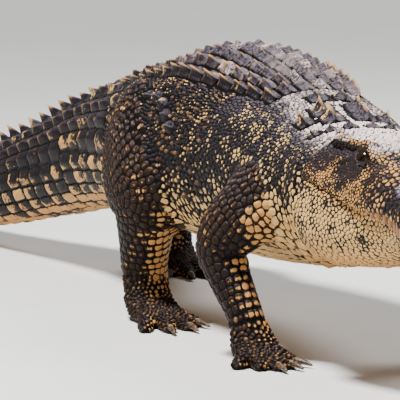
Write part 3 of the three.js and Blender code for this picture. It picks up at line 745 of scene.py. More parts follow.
def leg_pale(where, normals):
    """How pale the legs are: most inside and on the upper arm's front, with bands along the rings of scales."""
    k, fore = where["k"], where["which"] < FORELEGS
    inner = 0.85 * normals[:, 0] - 0.55 * leg_sides(where) * normals[:, 1]
    limb = 0.18 + (0.56 - 0.12 * fore) * smooth(0.25, 0.90, inner) - 0.08 * smooth(0.2, -0.8, inner)
    bands = (np.cos(2 * math.pi * where["down"] / LEG_ROW) - 0.35) * smooth(-0.4, 0.4, normals[:, 0] + 0.4 * inner)
    limb = limb + 0.22 * bands * smooth(1.2, 1.8, k) * smooth(4.6, 4.2, k) - 0.08 * smooth(4.2, 4.8, k)
    front = smooth(0.30, 0.75, -np.cos(where["turn"])) * smooth(1.32, 1.08, k)
    return np.where(fore & (k < 2.2), np.maximum(limb, 0.20 + 0.55 * front), limb)


def head_marks(where, pale, bleach_and_highlight):
    """The markings of the head, which give way to the neck's at the nape."""
    level, at = where["level"], where["at"]
    lip = over_lip(at, level)
    below, throat = smooth(0.004, -0.006, lip), smooth(-0.045, -0.085, level)
    skull = smooth(0.066, 0.084, level + 0.045 * smooth(0.62, 0.35, at))
    ridge, hollow = smooth(0.011, 0.004, near_folded(where, RIM)), smooth(0.016, 0.004, near_folded(where, EAR))
    edge = smooth(0.010, 0.004, np.abs(lip)) * smooth(1.0, 0.9, at)
    lids = smooth(0.032, 0.021, from_eye(where))
    top = 0.34 + 0.22 * smooth(0.035, 0.012, lip)
    top = top + (0.62 - top) * np.maximum(ridge, edge) - 0.34 * hollow * (1 - ridge)
    top = top * (1 - 0.8 * lids * (1 - ridge))
    jaw = 0.72 + 0.28 * throat - 0.16 * smooth(0.80, 1.0, at) * (1 - throat)
    faded_and_highlight = (0.74 * skull + (0.42 - 0.74 * skull) * ridge) * (1 - hollow) * (1 - lids)
    faded_and_highlight = faded_and_highlight + (0.20 * (1 - throat) - faded_and_highlight) * below
    warm = 0.72 + (0.38 + 0.35 * throat - 0.72) * below * (1 - edge)
    nape = smooth(0.96, HEAD_MEETS, at)
    return (top + (jaw - top) * below) * (1 - nape) + pale * nape, warm, faded_and_highlight * (1 - nape) + bleach_and_highlight * nape


def markings(where, normals):
    """Shares of pale, warm and weathered pale colour at places on the hide; the last is also painted highlight over
    the top of the back.
    """
    body = body_marks(where)
    leg = leg_pale(where, normals), 0.78, 0.0
    head = head_marks(where, body[0], body[2])
    mixed = [np.where(where["head"], h, np.where(where["leg"], l, b)) for h, l, b in zip(head, leg, body)]
    return np.clip(np.stack(mixed, -1), 0, 1)


def unwrap(where):
    """Each place's spot on a flat layout of the hide: the body with the head in one chart, each leg in its own."""
    length = np.where(where["head"], SKULL_BACK + (1 - where["at"]) * HEAD_LENGTH, where["s"])
    round_head = np.arctan2(where["level"] + 0.005, where["left"]) % (2 * math.pi)
    turn = np.where(where["head"], round_head, where["angle"]) / (2 * math.pi)
    whole = SKULL_BACK + HEAD_LENGTH - TAIL_END
    body = np.stack((0.01 + 0.97 * (length - TAIL_END) / whole, 0.29 + 0.70 * turn), -1)
    limb = np.stack((0.01 + 0.245 * (where["which"] + 0.96 * np.clip(where["k"] / 5, 0, 1)),
                     0.01 + 0.26 * (where["turn"] / (2 * math.pi) % 1.0)), -1)
    return np.where(where["leg"][:, None], limb, body)


# ---- meshes from arrays ----
def add_object(name, data):
    """A new object in the scene."""
    made = bpy.data.objects.new(name, data)
    bpy.context.scene.collection.objects.link(made)
    return made


def make_object(name, points, polygons, material, smooth_faces=True):
    """A mesh object from points and a list of arrays of polygons, each array with one count of corners."""
    mesh = bpy.data.meshes.new(name)
    polygons = [np.asarray(p, np.int64) for p in polygons if len(p)]
    counts = np.concatenate([np.full(len(p), p.shape[1]) for p in polygons])
    corners = np.concatenate([p.ravel() for p in polygons])
    mesh.vertices.add(len(points))
    mesh.vertices.foreach_set("co", np.asarray(points, np.float32).ravel())
    mesh.loops.add(len(corners))
    mesh.loops.foreach_set("vertex_index", corners.astype(np.int32))
    mesh.polygons.add(len(counts))
    mesh.polygons.foreach_set("loop_start", np.concatenate(([0], np.cumsum(counts)[:-1])).astype(np.int32))
    mesh.polygons.foreach_set("use_smooth", np.full(len(counts), smooth_faces))
    mesh.update(calc_edges=True)
    mesh.validate()
    mesh.materials.append(material)
    return add_object(name, mesh)


def set_attribute(mesh, name, kind, values):
    """Gives each point of a mesh its value of an attribute."""
    layer = mesh.attributes.get(name) or mesh.attributes.new(name, kind, "POINT")
    key = {"FLOAT": "value", "FLOAT_VECTOR": "vector", "FLOAT_COLOR": "color"}[kind]
    layer.data.foreach_set(key, np.asarray(values, np.float32).ravel())


def set_looks(mesh, mark, relief):
    """What the hide's material reads: the shares of colour, and each point's crown, keel tip, tone and rear."""
    set_attribute(mesh, "mark", "FLOAT_VECTOR", mark)
    set_attribute(mesh, "relief", "FLOAT_COLOR", relief)


def mesh_points(mesh):
    """A mesh's points and their normals."""
    points = np.empty(len(mesh.vertices) * 3, np.float32)
    normals = np.empty_like(points)
    mesh.vertices.foreach_get("co", points)
    mesh.vertex_normals.foreach_get("vector", normals)
    return points.reshape(-1, 3).astype(float), normals.reshape(-1, 3).astype(float)


def set_bake_map(mesh, roots, local):
    """Gives each face corner the spot of its scale's root, spread over a small patch."""
    corner = np.empty(len(mesh.loops), np.int32)
    mesh.loops.foreach_get("vertex_index", corner)
    layer = mesh.uv_layers.new(name="OFBake")
    spots = np.clip(roots + local * BAKE_PATCH, 0.001, 0.999)[corner]
    layer.data.foreach_set("uv", spots.astype(np.float32).ravel())


# ---- scales whose edges meet their neighbours': every seed's outline is where it meets them ----
NEIGHBOURS, SHIELD_SIDES = 14, 12
# the rings of a scale: share of its outline, and how much of its height, its ridge and its crown each has
SHIELD_RINGS = ((1.0, -0.25, 0.0, 0.0), (0.93, 0.62, 0.08, 0.6), (0.55, 0.95, 0.65, 0.95))


def stretches(where):
    """How the scales' spacing is squeezed along x, y and z, so that they come out longer down their lie."""
    return np.where(where["leg"][:, None], (1, 1, 1 / 1.05), (1 / 1.4, 1, 1))


def outlines(where, ways, across, radii, walls):
    """How far each seed's scale reaches in each of its directions, before it is stretched along its lie."""
    points, squeeze = where["points"], stretches(where)
    everything = np.concatenate((points, walls)) if len(walls) else points
    tree = tree_of(everything * squeeze[0])
    around = np.array([[hit[1] for hit in tree.find_n(p, NEIGHBOURS + 1)] for p in points * squeeze[0]])
    off = (everything[around] - points[:, None]) * squeeze[:, None]
    long = 1 / np.linalg.norm(ways * squeeze, axis=1)
    x, y = dot(off, (ways * squeeze)[:, None]) * long[:, None], dot(off, across[:, None])
    far = np.maximum(x * x + y * y, 1e-12)
    both = np.concatenate((radii, np.zeros(len(walls))))[around]
    power = np.where(around >= len(points), 1.7 * far, far + radii[:, None] ** 2 - both ** 2)
    own = around == np.arange(len(points))[:, None]
    turn = 2 * math.pi * np.arange(SHIELD_SIDES) / SHIELD_SIDES
    ahead = x[..., None] * np.cos(turn) + y[..., None] * np.sin(turn)
    reach = np.where((ahead > 1e-6) & ~own[..., None], power[..., None] / (2 * np.maximum(ahead, 1e-9)), 1e3)
    reach = (np.maximum(reach, 1e-4) ** -14.0).sum(1) ** (-1 / 14.0)
    return np.minimum(reach, radii[:, None] * 1.7), long


def shields(name, material, where, radii, height, keel, tone, surface, walls, gap):
    """One mesh of low scales over the seeds, with their attributes and bake map."""
    points, normals, head, sides = where["points"], where["normal"], where["head"], SHIELD_SIDES
    count, per = len(points), len(SHIELD_RINGS) * sides + 1
    ways = lie(where, normals)
    across = np.cross(normals, ways)
    reach, long = outlines(where, ways, across, radii, walls)
    reach = np.maximum(reach - np.minimum(gap, np.where(head, 0.05, 0.09) * radii)[:, None], 0.0006)
    turn = 2 * math.pi * np.arange(sides) / sides
    flat = (ways * long[:, None])[:, None] * np.cos(turn)[:, None] + across[:, None] * np.sin(turn)[:, None]
    size = reach.mean(1)[:, None]
    high, keel, tone = height[:, None] * size, keel[:, None], tone[:, None]
    ridge = keel * size * np.abs(np.cos(turn)) ** 6 * (0.55 + 0.45 * (np.cos(turn) > 0))
    rings, lifts = [], []
    for share, lift, ridged, _ in SHIELD_RINGS:
        narrow = share + 0.035 * head[:, None] * (0.9 < share < 1)
        rings.append(points[:, None] + flat * (reach * narrow)[..., None])
        lifts.append(lift * high + ridged * ridge)
    cloud = np.stack(rings, 1).reshape(-1, 3)
    based = np.array([surface.find_nearest(p)[0] or p for p in cloud]).reshape(count, per - 1, 3)
    body = based + normals[:, None] * np.concatenate(lifts, 1)[..., None]
    top = points + normals * (high * 1.05 + keel * size * 0.9)
    verts = np.concatenate((body, top[:, None]), 1).reshape(-1, 3)
    start = (np.arange(count) * per)[:, None, None]
    faces = [(start + part).reshape(-1, part.shape[1])
             for part in (grid_quads(len(SHIELD_RINGS), sides), fan(per - 1, sides, per - 1 - sides)[:, (1, 2, 0)])]
    made = make_object(name, verts, faces, material)
    spread = places(verts)
    for key in ("head", "leg", "which", "body"):
        spread[key] = np.repeat(where[key], per, 0)
    circle = np.stack((np.cos(turn), np.sin(turn)), -1)
    local = np.concatenate([circle * share for share, *_ in SHIELD_RINGS] + [np.zeros((1, 2))])
    crown = np.append(np.repeat([crown for *_, crown in SHIELD_RINGS], sides), 1.0)
    tip = [ridged * ridge / np.maximum(size, 1e-6) for _, _, ridged, _ in SHIELD_RINGS] + [keel * 0.9]
    tip = np.clip(np.concatenate(tip, 1) * 1.6, 0, 1)
    relief = np.stack(np.broadcast_arrays(crown, tip, tone, 0.5 + 0.5 * local[:, 0]), -1)
    set_looks(made.data, markings(spread, np.repeat(normals, per, 0)), relief)
    set_bake_map(made.data, np.repeat(unwrap(where), per, 0), np.tile(local, (count, 1)))
    return made


# ---- plates laid out in rows on the body ----
# where a plate's points are: across the plate from its rear edge to its front one, and from side to side
PLATE_COLUMNS = np.array((-1.0, -0.97, -0.8, -0.5, -0.2, 0.15, 0.5, 0.82, 0.97, 1.0))
PLATE_ROWS = np.array((-1.0, -0.96, -0.72, -0.36, -0.12, 0.0, 0.12, 0.36, 0.72, 0.96, 1.0))


def in_cell(cell, u, v):
    """Place along the spine and angle round it, from a cell's own u and v."""
    s0, s1, a0, a1 = cell
    return (s0 + s1) / 2 + (s1 - s0) / 2 * u, (a0 + a1) / 2 + (a1 - a0) / 2 * v


def surface_normal(s, angle, grow):
    """The way out of the body's surface, grown by that much."""
    ahead = on_body(s + 0.002, angle, grow) - on_body(s - 0.002, angle, grow)
    round_way = on_body(s, angle + 0.02, grow) - on_body(s, angle - 0.02, grow)
    return unit(np.cross(round_way, ahead))


def plates(name, material, cells, seed, shade, worn, blunt, roundness, faded_and_highlight):
    """One mesh of plates. A cell is s0, s1, a0, a1, height, keel height, where the keel peaks, its thinness."""
    cells = np.array(cells, float)
    count, m, n = len(cells), len(PLATE_COLUMNS), len(PLATE_ROWS)
    rng = np.random.default_rng(seed)
    spans = np.abs(np.stack((cells[:, 1] - cells[:, 0],) * 2 + (cells[:, 3] - cells[:, 2],) * 2, -1))
    cells[:, :4] += np.clip(rng.normal(0, 0.014, (count, 4)), -0.03, 0.03) * spans
    cells[:, 4:6] *= rng.uniform(0.8, 1.2, (count, 2))
    s0, s1, a0, a1, height, keel, peak, thin = cells.T[:, :, None, None]
    skew = np.clip(rng.normal(0, 0.05, count), -0.1, 0.1)[:, None, None]
    u, v = np.meshgrid(PLATE_COLUMNS, PLATE_ROWS, indexing="ij")
    s, angle = in_cell((s0, s1, a0, a1), u * np.sqrt(1 - roundness * v * v), v * np.sqrt(1 - roundness * u * u))
    s = s + skew * v * (s1 - s0) / 2
    edge = np.maximum(np.abs(u), np.abs(v))
    dome = 1 - 0.45 * edge ** 2 - 0.25 * edge ** 8
    rise_to = np.clip((1 - u) / (1 + peak), 0, 1)
    fall_to = np.clip((u + 1) / (1 - peak + 1e-6), 0, 1) ** 0.5
    blade = np.exp(-(np.abs(v) / thin) ** 1.3) * np.minimum(rise_to ** blunt, fall_to)
    lift = np.where(edge > 0.99, -0.0014, height * dome * (1 - 0.6 * u) + keel * blade)
    depth = body_depth(s, angle)
    base, normal = on_body(s, angle, -depth), surface_normal(s, angle, -depth)
    verts = base + normal * lift[..., None]
    verts[..., 2] = np.maximum(verts[..., 2], FLOOR_GAP)
    quads = (np.arange(count)[:, None, None] * (m * n) + grid_quads(m, n, closed=False)).reshape(-1, 4)
    made = make_object(name, verts.reshape(-1, 3), (quads,), material)
    where = places(base[:, m // 2, n // 2])
    where["head"][:] = False
    where["leg"][:] = False
    spread = {key: np.repeat(value, m * n, 0) for key, value in where.items()}
    spread["s"], spread["back"] = s.ravel(), np.degrees(off_back(angle.ravel()))
    # the third share added here is a painted highlight on the tops of the flank's larger scales
    mark = markings(spread, normal.reshape(-1, 3)) * shade + (0, 0, faded_and_highlight)
    tone = rng.random(count)[:, None, None]
    upper = smooth(100, 65, spread["back"]).reshape(count, m, n)
    tip = np.maximum(np.clip(keel / 0.012, 0, 1) * blade ** 2, worn * smooth(-0.66, -0.86, u) * upper)
    relief = np.stack(np.broadcast_arrays(np.clip((1 - edge) / 0.13, 0, 1), tip, tone, 0.5 - 0.5 * u), -1)
    set_looks(made.data, mark, relief)
    local = np.tile(np.stack((u, v), -1).reshape(-1, 2), (count, 1))
    set_bake_map(made.data, np.repeat(unwrap(where), m * n, 0), local)
    return made


def cell_walls(cells):
    """Points along the outlines of plates, which the free scales stop at."""
    walls, spacing = [], 0.004
    for s0, s1, a0, a1, *_ in cells:
        half = along(BODY, WIDE, np.array((s0 + s1) / 2)) * 1.1
        long, tall = max(3, int((s1 - s0) / spacing)), max(3, int((a1 - a0) * half / spacing))
        down, over = np.linspace(-1, 1, long), np.linspace(-1, 1, tall)
        u = np.concatenate((down, down, np.full(tall, -1), np.full(tall, 1)))
        v = np.concatenate((np.full(long, -1), np.full(long, 1), over, over))
        s, angle = in_cell((s0, s1, a0, a1), u, v)
        walls.append(on_body(s, angle, -body_depth(s, angle)))
    return np.concatenate(walls)


# ---- which plates there are ----
def crest_apart(s):
    """Angle from the back to each of the crest's two rows."""
    return CREST["spread"] * np.interp(s, (CREST["merge"], CREST["start"]), (0.12, 1))


def whorl_length(s):
    """Length of a ring of tail scales."""
    return float(np.interp(-s, (0, -TAIL_END), WHORL))


def tail_cells():
    """Rings of plates down the tail: those of the crest, and the flatter ones."""
    tall, flat = [], []
    s = CREST["start"]
    rings = [(s + whorl_length(s) / 2 + 0.045, whorl_length(s)), (s, whorl_length(s))]
    while s - whorl_length(s) > CREST["end"] - 0.03:
        s -= whorl_length(s)
        rings.append((s, whorl_length(s)))
    for number, (s, long) in enumerate(rings):
        half = long * 0.466
        ends = (s - half, s + half)
        fine = 1 - smooth(-1.30, -1.46, s)
        if s > CREST["merge"]:
            apart, up = float(crest_apart(s)), float(np.interp(s, (CREST["merge"], CREST["start"]), (0.026, 0.012)))
            wing = 0.17 + 0.02 * (s < -0.3)
            tall += [(*ends, BACK + side * apart - wing, BACK + side * apart + wing, 0.003, up, 0.82, 0.20)
                     for side in (-1, 1)]
            between = max(0, round((2 * (apart - wing)) / 0.24))
            if between:
                lines = np.linspace(BACK - apart + wing, BACK + apart - wing, between + 1)
                flat += [(*ends, a, b, 0.0028, 0.0022, 0.5, 0.4) for a, b in pairwise(lines)]
            first = apart + wing
        else:
            up = float(np.interp(s, (CREST["end"], CREST["merge"]), (0.013, 0.034)))
            first = 0.30
            tall.append((*ends, BACK - first, BACK + first, 0.0025 * fine + 0.0005, up, 0.80, 0.16))
        count = int(round(np.interp(s, (-1.45, -0.8, 0), (4, 7.4, 9.2))))
        lines = np.linspace(first, math.pi, count + 1)
        for side in (-1, 1):
            for place, (a, b) in enumerate(pairwise(lines)):
                if number == 0 and place > 0:
                    continue
                keel = (0.0065 if place < 2 else 0.0040 if place < 4 else 0.0006) * fine
                low, high = sorted((BACK + side * a, BACK + side * b))
                flat.append((*ends, low, high, 0.0030 * fine + 0.0004, keel, 0.75, 0.55))
    return tall, flat


def shield_cells():
    """Rows of keeled plates down the back, from the hips to the shoulders."""
    cells = []
    start, step, half = -0.035, 0.0425, 0.0205
    for row in range(14):
        s = start + row * step
        edge = math.radians(np.interp(s, (start, 0.3, 0.52), (44, 45, 34)))
        count = 6 if row > 12 else 8
        lines = np.linspace(-edge, edge, count + 1)
        for place, (a, b) in enumerate(pairwise(lines)):
            outer = place in (0, count - 1)
            next_out = place in (1, count - 2)
            keel = 0.0115 if outer else 0.0080 if next_out else 0.0065
            thin = 0.22 if outer else 0.28
            cells.append((s - half, s + half, BACK + a + 0.006, BACK + b - 0.006, 0.0045, keel, 0.45, thin))
    return cells


def nape_cells():
    """Pairs of spined plates on the nape."""
    cells = []
    for s, turn, long, wide, keel in ((0.680, 11, 0.021, 9, 0.015), (0.636, 12, 0.019, 9, 0.015),
                                      (0.662, 29, 0.018, 7, 0.013), (0.745, 7, 0.009, 5, 0.007),
                                      (0.742, 20, 0.009, 5, 0.007), (0.735, 34, 0.009, 5, 0.007),
                                      (0.590, 8, 0.014, 7, 0.008)):
        for side in (-1, 1):
            middle, half = BACK + side * math.radians(turn), math.radians(wide)
            cells.append((s - long, s + long, middle - half, middle + half, 0.004, keel, 0.5, 0.2))
    return cells


def side_cells():
    """The few larger scales that stand among the granules of the flank."""
    cells = []
    for s, degrees, size in ((0.15, 148, 11), (0.195, 150, 11), (0.24, 150, 11), (0.275, 153, 10), (0.302, 158, 10),
                             (0.330, 163, 9), (0.105, 149, 10), (0.06, 150, 10), (0.135, 162, 8), (0.18, 166, 8),
                             (0.215, 169, 7.5), (0.245, 173, 7)):
        for side in (-1, 1):
            middle = BACK - side * math.radians(degrees - 90)
            long, half = 0.0014 * size, 0.0012 * size / float(along(BODY, WIDE, s)) * 0.95
            cells.append((s - long, s + long, middle - half, middle + half, 0.0030, 0.0070, 0.45, 0.30))
    return cells


def belly_cells():
    """Rows of flat plates under the belly."""
    cells = []
    step, half = 0.0262, 0.0127
    for row in range(24):
        s = row * step
        wide = math.radians(np.interp(s, (0, 0.1, 0.45, 0.6), (36, 46, 46, 38)))
        lines = np.linspace(BELLY - wide, BELLY + wide, 11)
        cells += [(s - half, s + half, a + 0.003, b - 0.003, 0.0018, 0.0, 0.0, 0.5)
                  for a, b in pairwise(lines)]
    return cells


# ---- where the free scales are ----
CANDIDATES = 8  # places tried for each scale
PACKED = 0.86  # share of the wanted distance at which two scales still both stand
BARE = {"nostril": 0.0042, "eye": 0.0190}  # how near them no scale stands
FINE = {"leg": 0.0039, "body": 0.0047}  # radius under which a scale is a granule


def scale_size(where):
    """Distance between scales, in metres, over the hide."""
    s, back, k, at, level = (where[key] for key in ("s", "back", "k", "at", "level"))
    body = np.interp(back, (40, 60, 80, 105, 125, 150), (0.0054, 0.0052, 0.0063, 0.0086, 0.0112, 0.0145))
    neck = np.interp(back, (0, 40, 80, 110, 135, 180), (0.0054, 0.0053, 0.0064, 0.0110, 0.0160, 0.018))
    body = body + (neck - body) * smooth(0.50, 0.60, s)
    body = np.where(s < -0.055, np.maximum(body, 0.0090), body)
    outward = where["normal"][:, 1] * leg_sides(where)
    limb = np.interp(k, (0, 1.0, 2.2, 3.2, 4.3, 5.0), (0.0100, 0.0116, 0.0116, 0.0108, 0.0078, 0.0060))
    limb = limb * (1 - 0.10 * smooth(-0.3, 0.6, outward))
    head = np.interp(at, (0.0, 0.3, 0.5, 0.7, 1.0), (0.0055, 0.0075, 0.0078, 0.0062, 0.0064))
    jaw = np.interp(at, (0.0, 0.3, 0.7, 1.0), (0.0046, 0.0051, 0.0051, 0.0052))
    cheek = smooth(0.50, 0.60, at) * smooth(0.075, 0.060, level)
    head = head + (0.0037 - head) * cheek
    head = np.where(over_lip(at, level) < 0, jaw, head)
    head = np.where(level < -0.05, 0.0070, head)
    head = np.where(near_folded(where, RIM) < 0.012, 0.0042, head)
    return np.where(where["leg"], limb, np.where(where["head"], head, body))


def in_plates(where, cells):
    """Whether each place lies in one of the plates' cells."""
    s, inside = where["s"][:, None], np.zeros(len(where["s"]), bool)
    cells, at_once = np.array(cells)[:, :4], 40
    slack, turn_slack = 0.001, 0.02
    for first in range(0, len(cells), at_once):
        s0, s1, a0, a1 = cells[first:first + at_once].T
        turn = (where["angle"][:, None] - a0 + turn_slack) % (2 * math.pi)
        inside |= ((s > s0 - slack) & (s < s1 + slack) & (turn < a1 - a0 + 2 * turn_slack)).any(1)
    return inside & where["body"]


def mesh_triangles(mesh):
    """The corners of a mesh's triangles."""
    mesh.calc_loop_triangles()
    triangles = np.empty(len(mesh.loop_triangles) * 3, np.int32)
    mesh.loop_triangles.foreach_get("vertices", triangles)
    return triangles.reshape(-1, 3)


def take(where, rows):
    """Some rows of everything that is known of places."""
    return {key: value[rows] for key, value in where.items()}


def scatter(points, sizes, seed):
    """Picks some of the points so that no two are nearer than their size."""
    tree = tree_of(points)
    free, picked = np.ones(len(points), bool), []
    for i in np.random.default_rng(seed).permutation(len(points)):
        if free[i]:
            picked.append(i)
            for _, near, _ in tree.find_range(points[i], sizes[i] * PACKED):
                free[near] = False
    return np.array(picked)


def settle(picked, points, sizes):
    """Moves each picked place to the middle of the places that are nearest to it."""
    spots, weight = points[picked], 1 / sizes ** 2
    for _ in range(2):
        tree = tree_of(spots)
        owner = np.array([tree.find(p)[1] for p in points])
        total = np.bincount(owner, weight, len(spots))
        middle = np.stack([np.bincount(owner, points[:, i] * weight, len(spots)) for i in range(3)], -1)
        spots = np.where(total[:, None] > 0, middle / np.maximum(total, 1e-9)[:, None], spots)
    return spots


def in_rows(where, points):
    """How far each place on a leg is from the middle of its ring of scales, down the leg."""
    down = leg_place(points)["down"]
    ringed = where["leg"] * smooth(0.9, 1.3, where["k"]) * smooth(4.45, 4.2, where["k"])
    return where["way"] * ((np.round(down / LEG_ROW) * LEG_ROW - down) * ringed * 0.92)[:, None]


def scale_room():
    """The hide's triangles: corners, area with the squeeze and without what is bare, places, and scales' distance."""
    mesh = bpy.data.objects["hide"].data
    points, normals = mesh_points(mesh)
    triangles = mesh_triangles(mesh)
    triangles = triangles[(triangles < len(points) - LID_POINTS).all(1)]
    corners = points[triangles]
    where = places(corners.mean(1))
    where["normal"] = unit(normals[triangles].mean(1))
    edges = (corners[:, 1:] - corners[:, :1]) * stretches(where)[:, None]
    area = np.linalg.norm(np.cross(edges[:, 0], edges[:, 1]), axis=1) / 2
    tail, sole = where["body"] & (where["s"] < -0.16), where["points"][:, 2] < 0.0035
    blocked = in_plates(where, plate_cells()) | in_eye_or_nostril(where) | tail | sole
    lip = over_lip(where["at"], where["level"])
    facing_lip = where["normal"][:, 2] * -np.sign(lip) > 0.45
    blocked |= where["head"] & (where["at"] < 0.72) & (np.abs(lip) < 0.007) & facing_lip
    return corners, np.where(blocked, 0, area), where, scale_size(where)


def free_scales(surface):
    """Every scale that is in no plate: its place and normal, and its radius."""
    corners, area, where, size = scale_room()
    rng = np.random.default_rng(5)
    number = np.floor(area / size ** 2 * CANDIDATES + rng.random(len(area))).astype(int)
    owner = np.repeat(np.arange(len(corners)), number)
    share = rng.dirichlet((1, 1, 1), len(owner))
    cloud = (corners[owner] * share[..., None]).sum(1)
    spots, radius = [], []
    for rows in (where["leg"][owner], ~where["leg"][owner]):
        around, sizes = take(where, owner[rows]), size[owner[rows]]
        squeeze = stretches(around)[0]
        squeezed = (cloud[rows] + in_rows(around, cloud[rows])) * squeeze
        picked = scatter(squeezed, sizes, 7)
        spots.append(settle(picked, squeezed, sizes) / squeeze)
        radius.append(sizes[picked] / 2)
    spots, radius = np.concatenate(spots), np.concatenate(radius)
    based, facing = (np.array(found) for found in zip(*(surface.find_nearest(spot)[:2] for spot in spots)))
    where = places(based)
    where["normal"] = facing
    kept = ~in_plates(where, plate_cells()) & ~in_eye_or_nostril(where)
    return take(where, kept), radius[kept]


def in_eye_or_nostril(where):
    """Whether a place is within the lids of an eye or in a nostril."""
    nostril = where["head"] & (near_folded(where, NOSTRIL) < BARE["nostril"])
    return nostril | (from_eye(where) < BARE["eye"])


# for each group: shares kept of the pale, warm and weathered pale marks (the last also the painted highlight over the
# top), wear of the rear rims, bluntness of the keels, roundness, and the painted highlight that is added, which only
# the flank's larger scales have
PLATE_LOOKS = {
    "shield": ((0.25, 1.0, 0.70), 0.55, 0.30, 0.22, 0.0), "crest": ((0.5, 1.0, 0.5), 0.10, 1.0, 0.22, 0.0),
    "tail": ((1.0, 1.0, 0.3), 0.60, 0.8, 0.20, 0.0), "belly": ((1.0, 1.0, 0.6), 0.0, 1.0, 0.22, 0.0),
    "nape": ((0.5, 1.0, 0.22), 0.25, 0.5, 0.38, 0.0), "side": ((0.5, 1.0, 1.0), 0.0, 1.2, 0.46, 0.14)}


@functools.cache
def plate_groups():
    """The cells of every group of plates."""
    tall, flat = tail_cells()
    return {"crest": tall, "tail": flat, "shield": shield_cells(), "belly": belly_cells(), "nape": nape_cells(),
            "side": side_cells()}


def plate_cells():
    """The cells of all plates."""
    return [cell for group in plate_groups().values() for cell in group]


# ---- the hide's mesh, with the lids ----
def faces_in(points, quads, middle):
    """Whether a surface's first quad faces its middle."""
    a, b, c = points[quads[0, :3]]
    return dot(np.cross(b - a, c - b), a - middle) < 0


def lid_surface(side):
    """Points and quads of the lids round one eye."""
    middle, gaze, fore, above = eye_axes(side)
    t = 2 * math.pi * np.arange(LID_SIDES) / LID_SIDES
    tall = np.where(np.sin(t) > 0, LID["above"], LID["below"])
    rim = np.stack((LID["long"] * np.cos(t), tall * np.sign(np.sin(t)) * np.abs(np.sin(t)) ** 1.25), -1)
    outer = 1.36 * np.stack((np.cos(t), np.sin(t)), -1)
    rings = []
    for share, radius in LID_RINGS:
        flat = rim * (1 - share) + outer * share
        polar = np.linalg.norm(flat, axis=1)[:, None]
        across = (fore * flat[:, :1] + above * flat[:, 1:]) / np.maximum(polar, 1e-9)
        upper = np.sin(t).clip(0)[:, None] * (0 < share < 0.5)
        lower = (-np.sin(t)).clip(0)[:, None] * (0.05 < share < 0.5)
        far = radius + 0.9 * upper + 0.6 * lower + 0.35 * lower * math.sin(share * 26)
        rings.append(middle + (gaze * np.cos(polar) + across * np.sin(polar)) * far * 0.001)
    points, quads = np.concatenate(rings), grid_quads(len(rings), LID_SIDES)
    return points, quads[:, ::-1] if faces_in(points, quads, middle) else quads


def thinned(made, ratio, weights):
    """Takes faces out of an object's mesh, most where the weights are high."""
    group = made.vertex_groups.new(name="thin")
    for level in np.unique(weights):
        group.add(np.nonzero(weights == level)[0].tolist(), float(level), "REPLACE")
    modifier = made.modifiers.new("thin", "DECIMATE")
    modifier.ratio = ratio
    modifier.vertex_group = group.name
    modifier.vertex_group_factor = 1.0
    return apply_modifiers(made)


def apply_modifiers(made):
    """Puts an object's finished mesh in its place, with no modifier left."""
    seen = made.evaluated_get(bpy.context.evaluated_depsgraph_get())
    mesh = bpy.data.meshes.new_from_object(seen)
    old = made.data
    made.modifiers.clear()
    made.vertex_groups.clear()
    made.data = mesh
    bpy.data.meshes.remove(old)
    mesh.name = made.name
    return mesh


def make_hide(material):
    """The hide, its head modelled with the strokes, thinned most behind the head, and the lids."""
    points, quads = hide_surface()
    draft = make_object("hide_draft", points, (quads,), material)
    _, normals = mesh_points(draft.data)
    points = points + normals * model_head(points)[:, None]
    points[:, 2] = np.maximum(points[:, 2], FLOOR_GAP)
    draft.data.vertices.foreach_set("co", points.astype(np.float32).ravel())
    fine = smooth(1.25, 1.05, head_place(points)[0]) * 0.9
    mesh = thinned(draft, HIDE_KEPT, np.round(1 - fine, 1))
    points, _ = mesh_points(mesh)
    triangles = mesh_triangles(mesh)
    lid_quads = []
    for place, quads in (lid_surface(side) for side in (-1, 1)):
        lid_quads.append(quads + len(points))
        points = np.concatenate((points, place))
    bpy.data.objects.remove(draft)
    hide = make_object("hide", points, (triangles, *lid_quads), material)
    points, normals = mesh_points(hide.data)
    relief = np.zeros((len(points), 4)) + (0.02, 0, 0.5, 0.5)
    relief[-LID_POINTS:] = (0.75, 0, 0.4, 0.5)
    set_looks(hide.data, markings(places(points), normals), relief)
    return hide


def hide_tree():
    """The hide's surface, to find the nearest place on it."""
    mesh = bpy.data.objects["hide"].data
    points, _ = mesh_points(mesh)
    return BVHTree.FromPolygons(points.tolist(), mesh_triangles(mesh).tolist(), all_triangles=True)


# ---- node trees, written as sums ----
class Sum:
    """A socket that stands in sums, each of which adds its Math node."""

    def __init__(self, net, socket):
        self.net, self.socket = net, socket

    def maths(self, operation, *values):
        return self.net.node("ShaderNodeMath", {"operation": operation}, dict(enumerate(values)))[0]

    def __add__(self, other):
        return self.maths("ADD", self, other)

    def __sub__(self, other):
        return self.maths("SUBTRACT", self, other)

    def __rsub__(self, other):
        return self.maths("SUBTRACT", other, self)

    def __mul__(self, other):
        return self.maths("MULTIPLY", self, other)

    def __truediv__(self, other):
        return self.maths("DIVIDE", self, other)

    def __pow__(self, other):
        return self.maths("POWER", self, other)

    __radd__, __rmul__ = __add__, __mul__


class Made:
    """A node that was added, whose outputs are taken by name or number."""

    def __init__(self, net, node):
        self.net, self.made = net, node

    def __getitem__(self, key):
        return Sum(self.net, self.made.outputs[key])


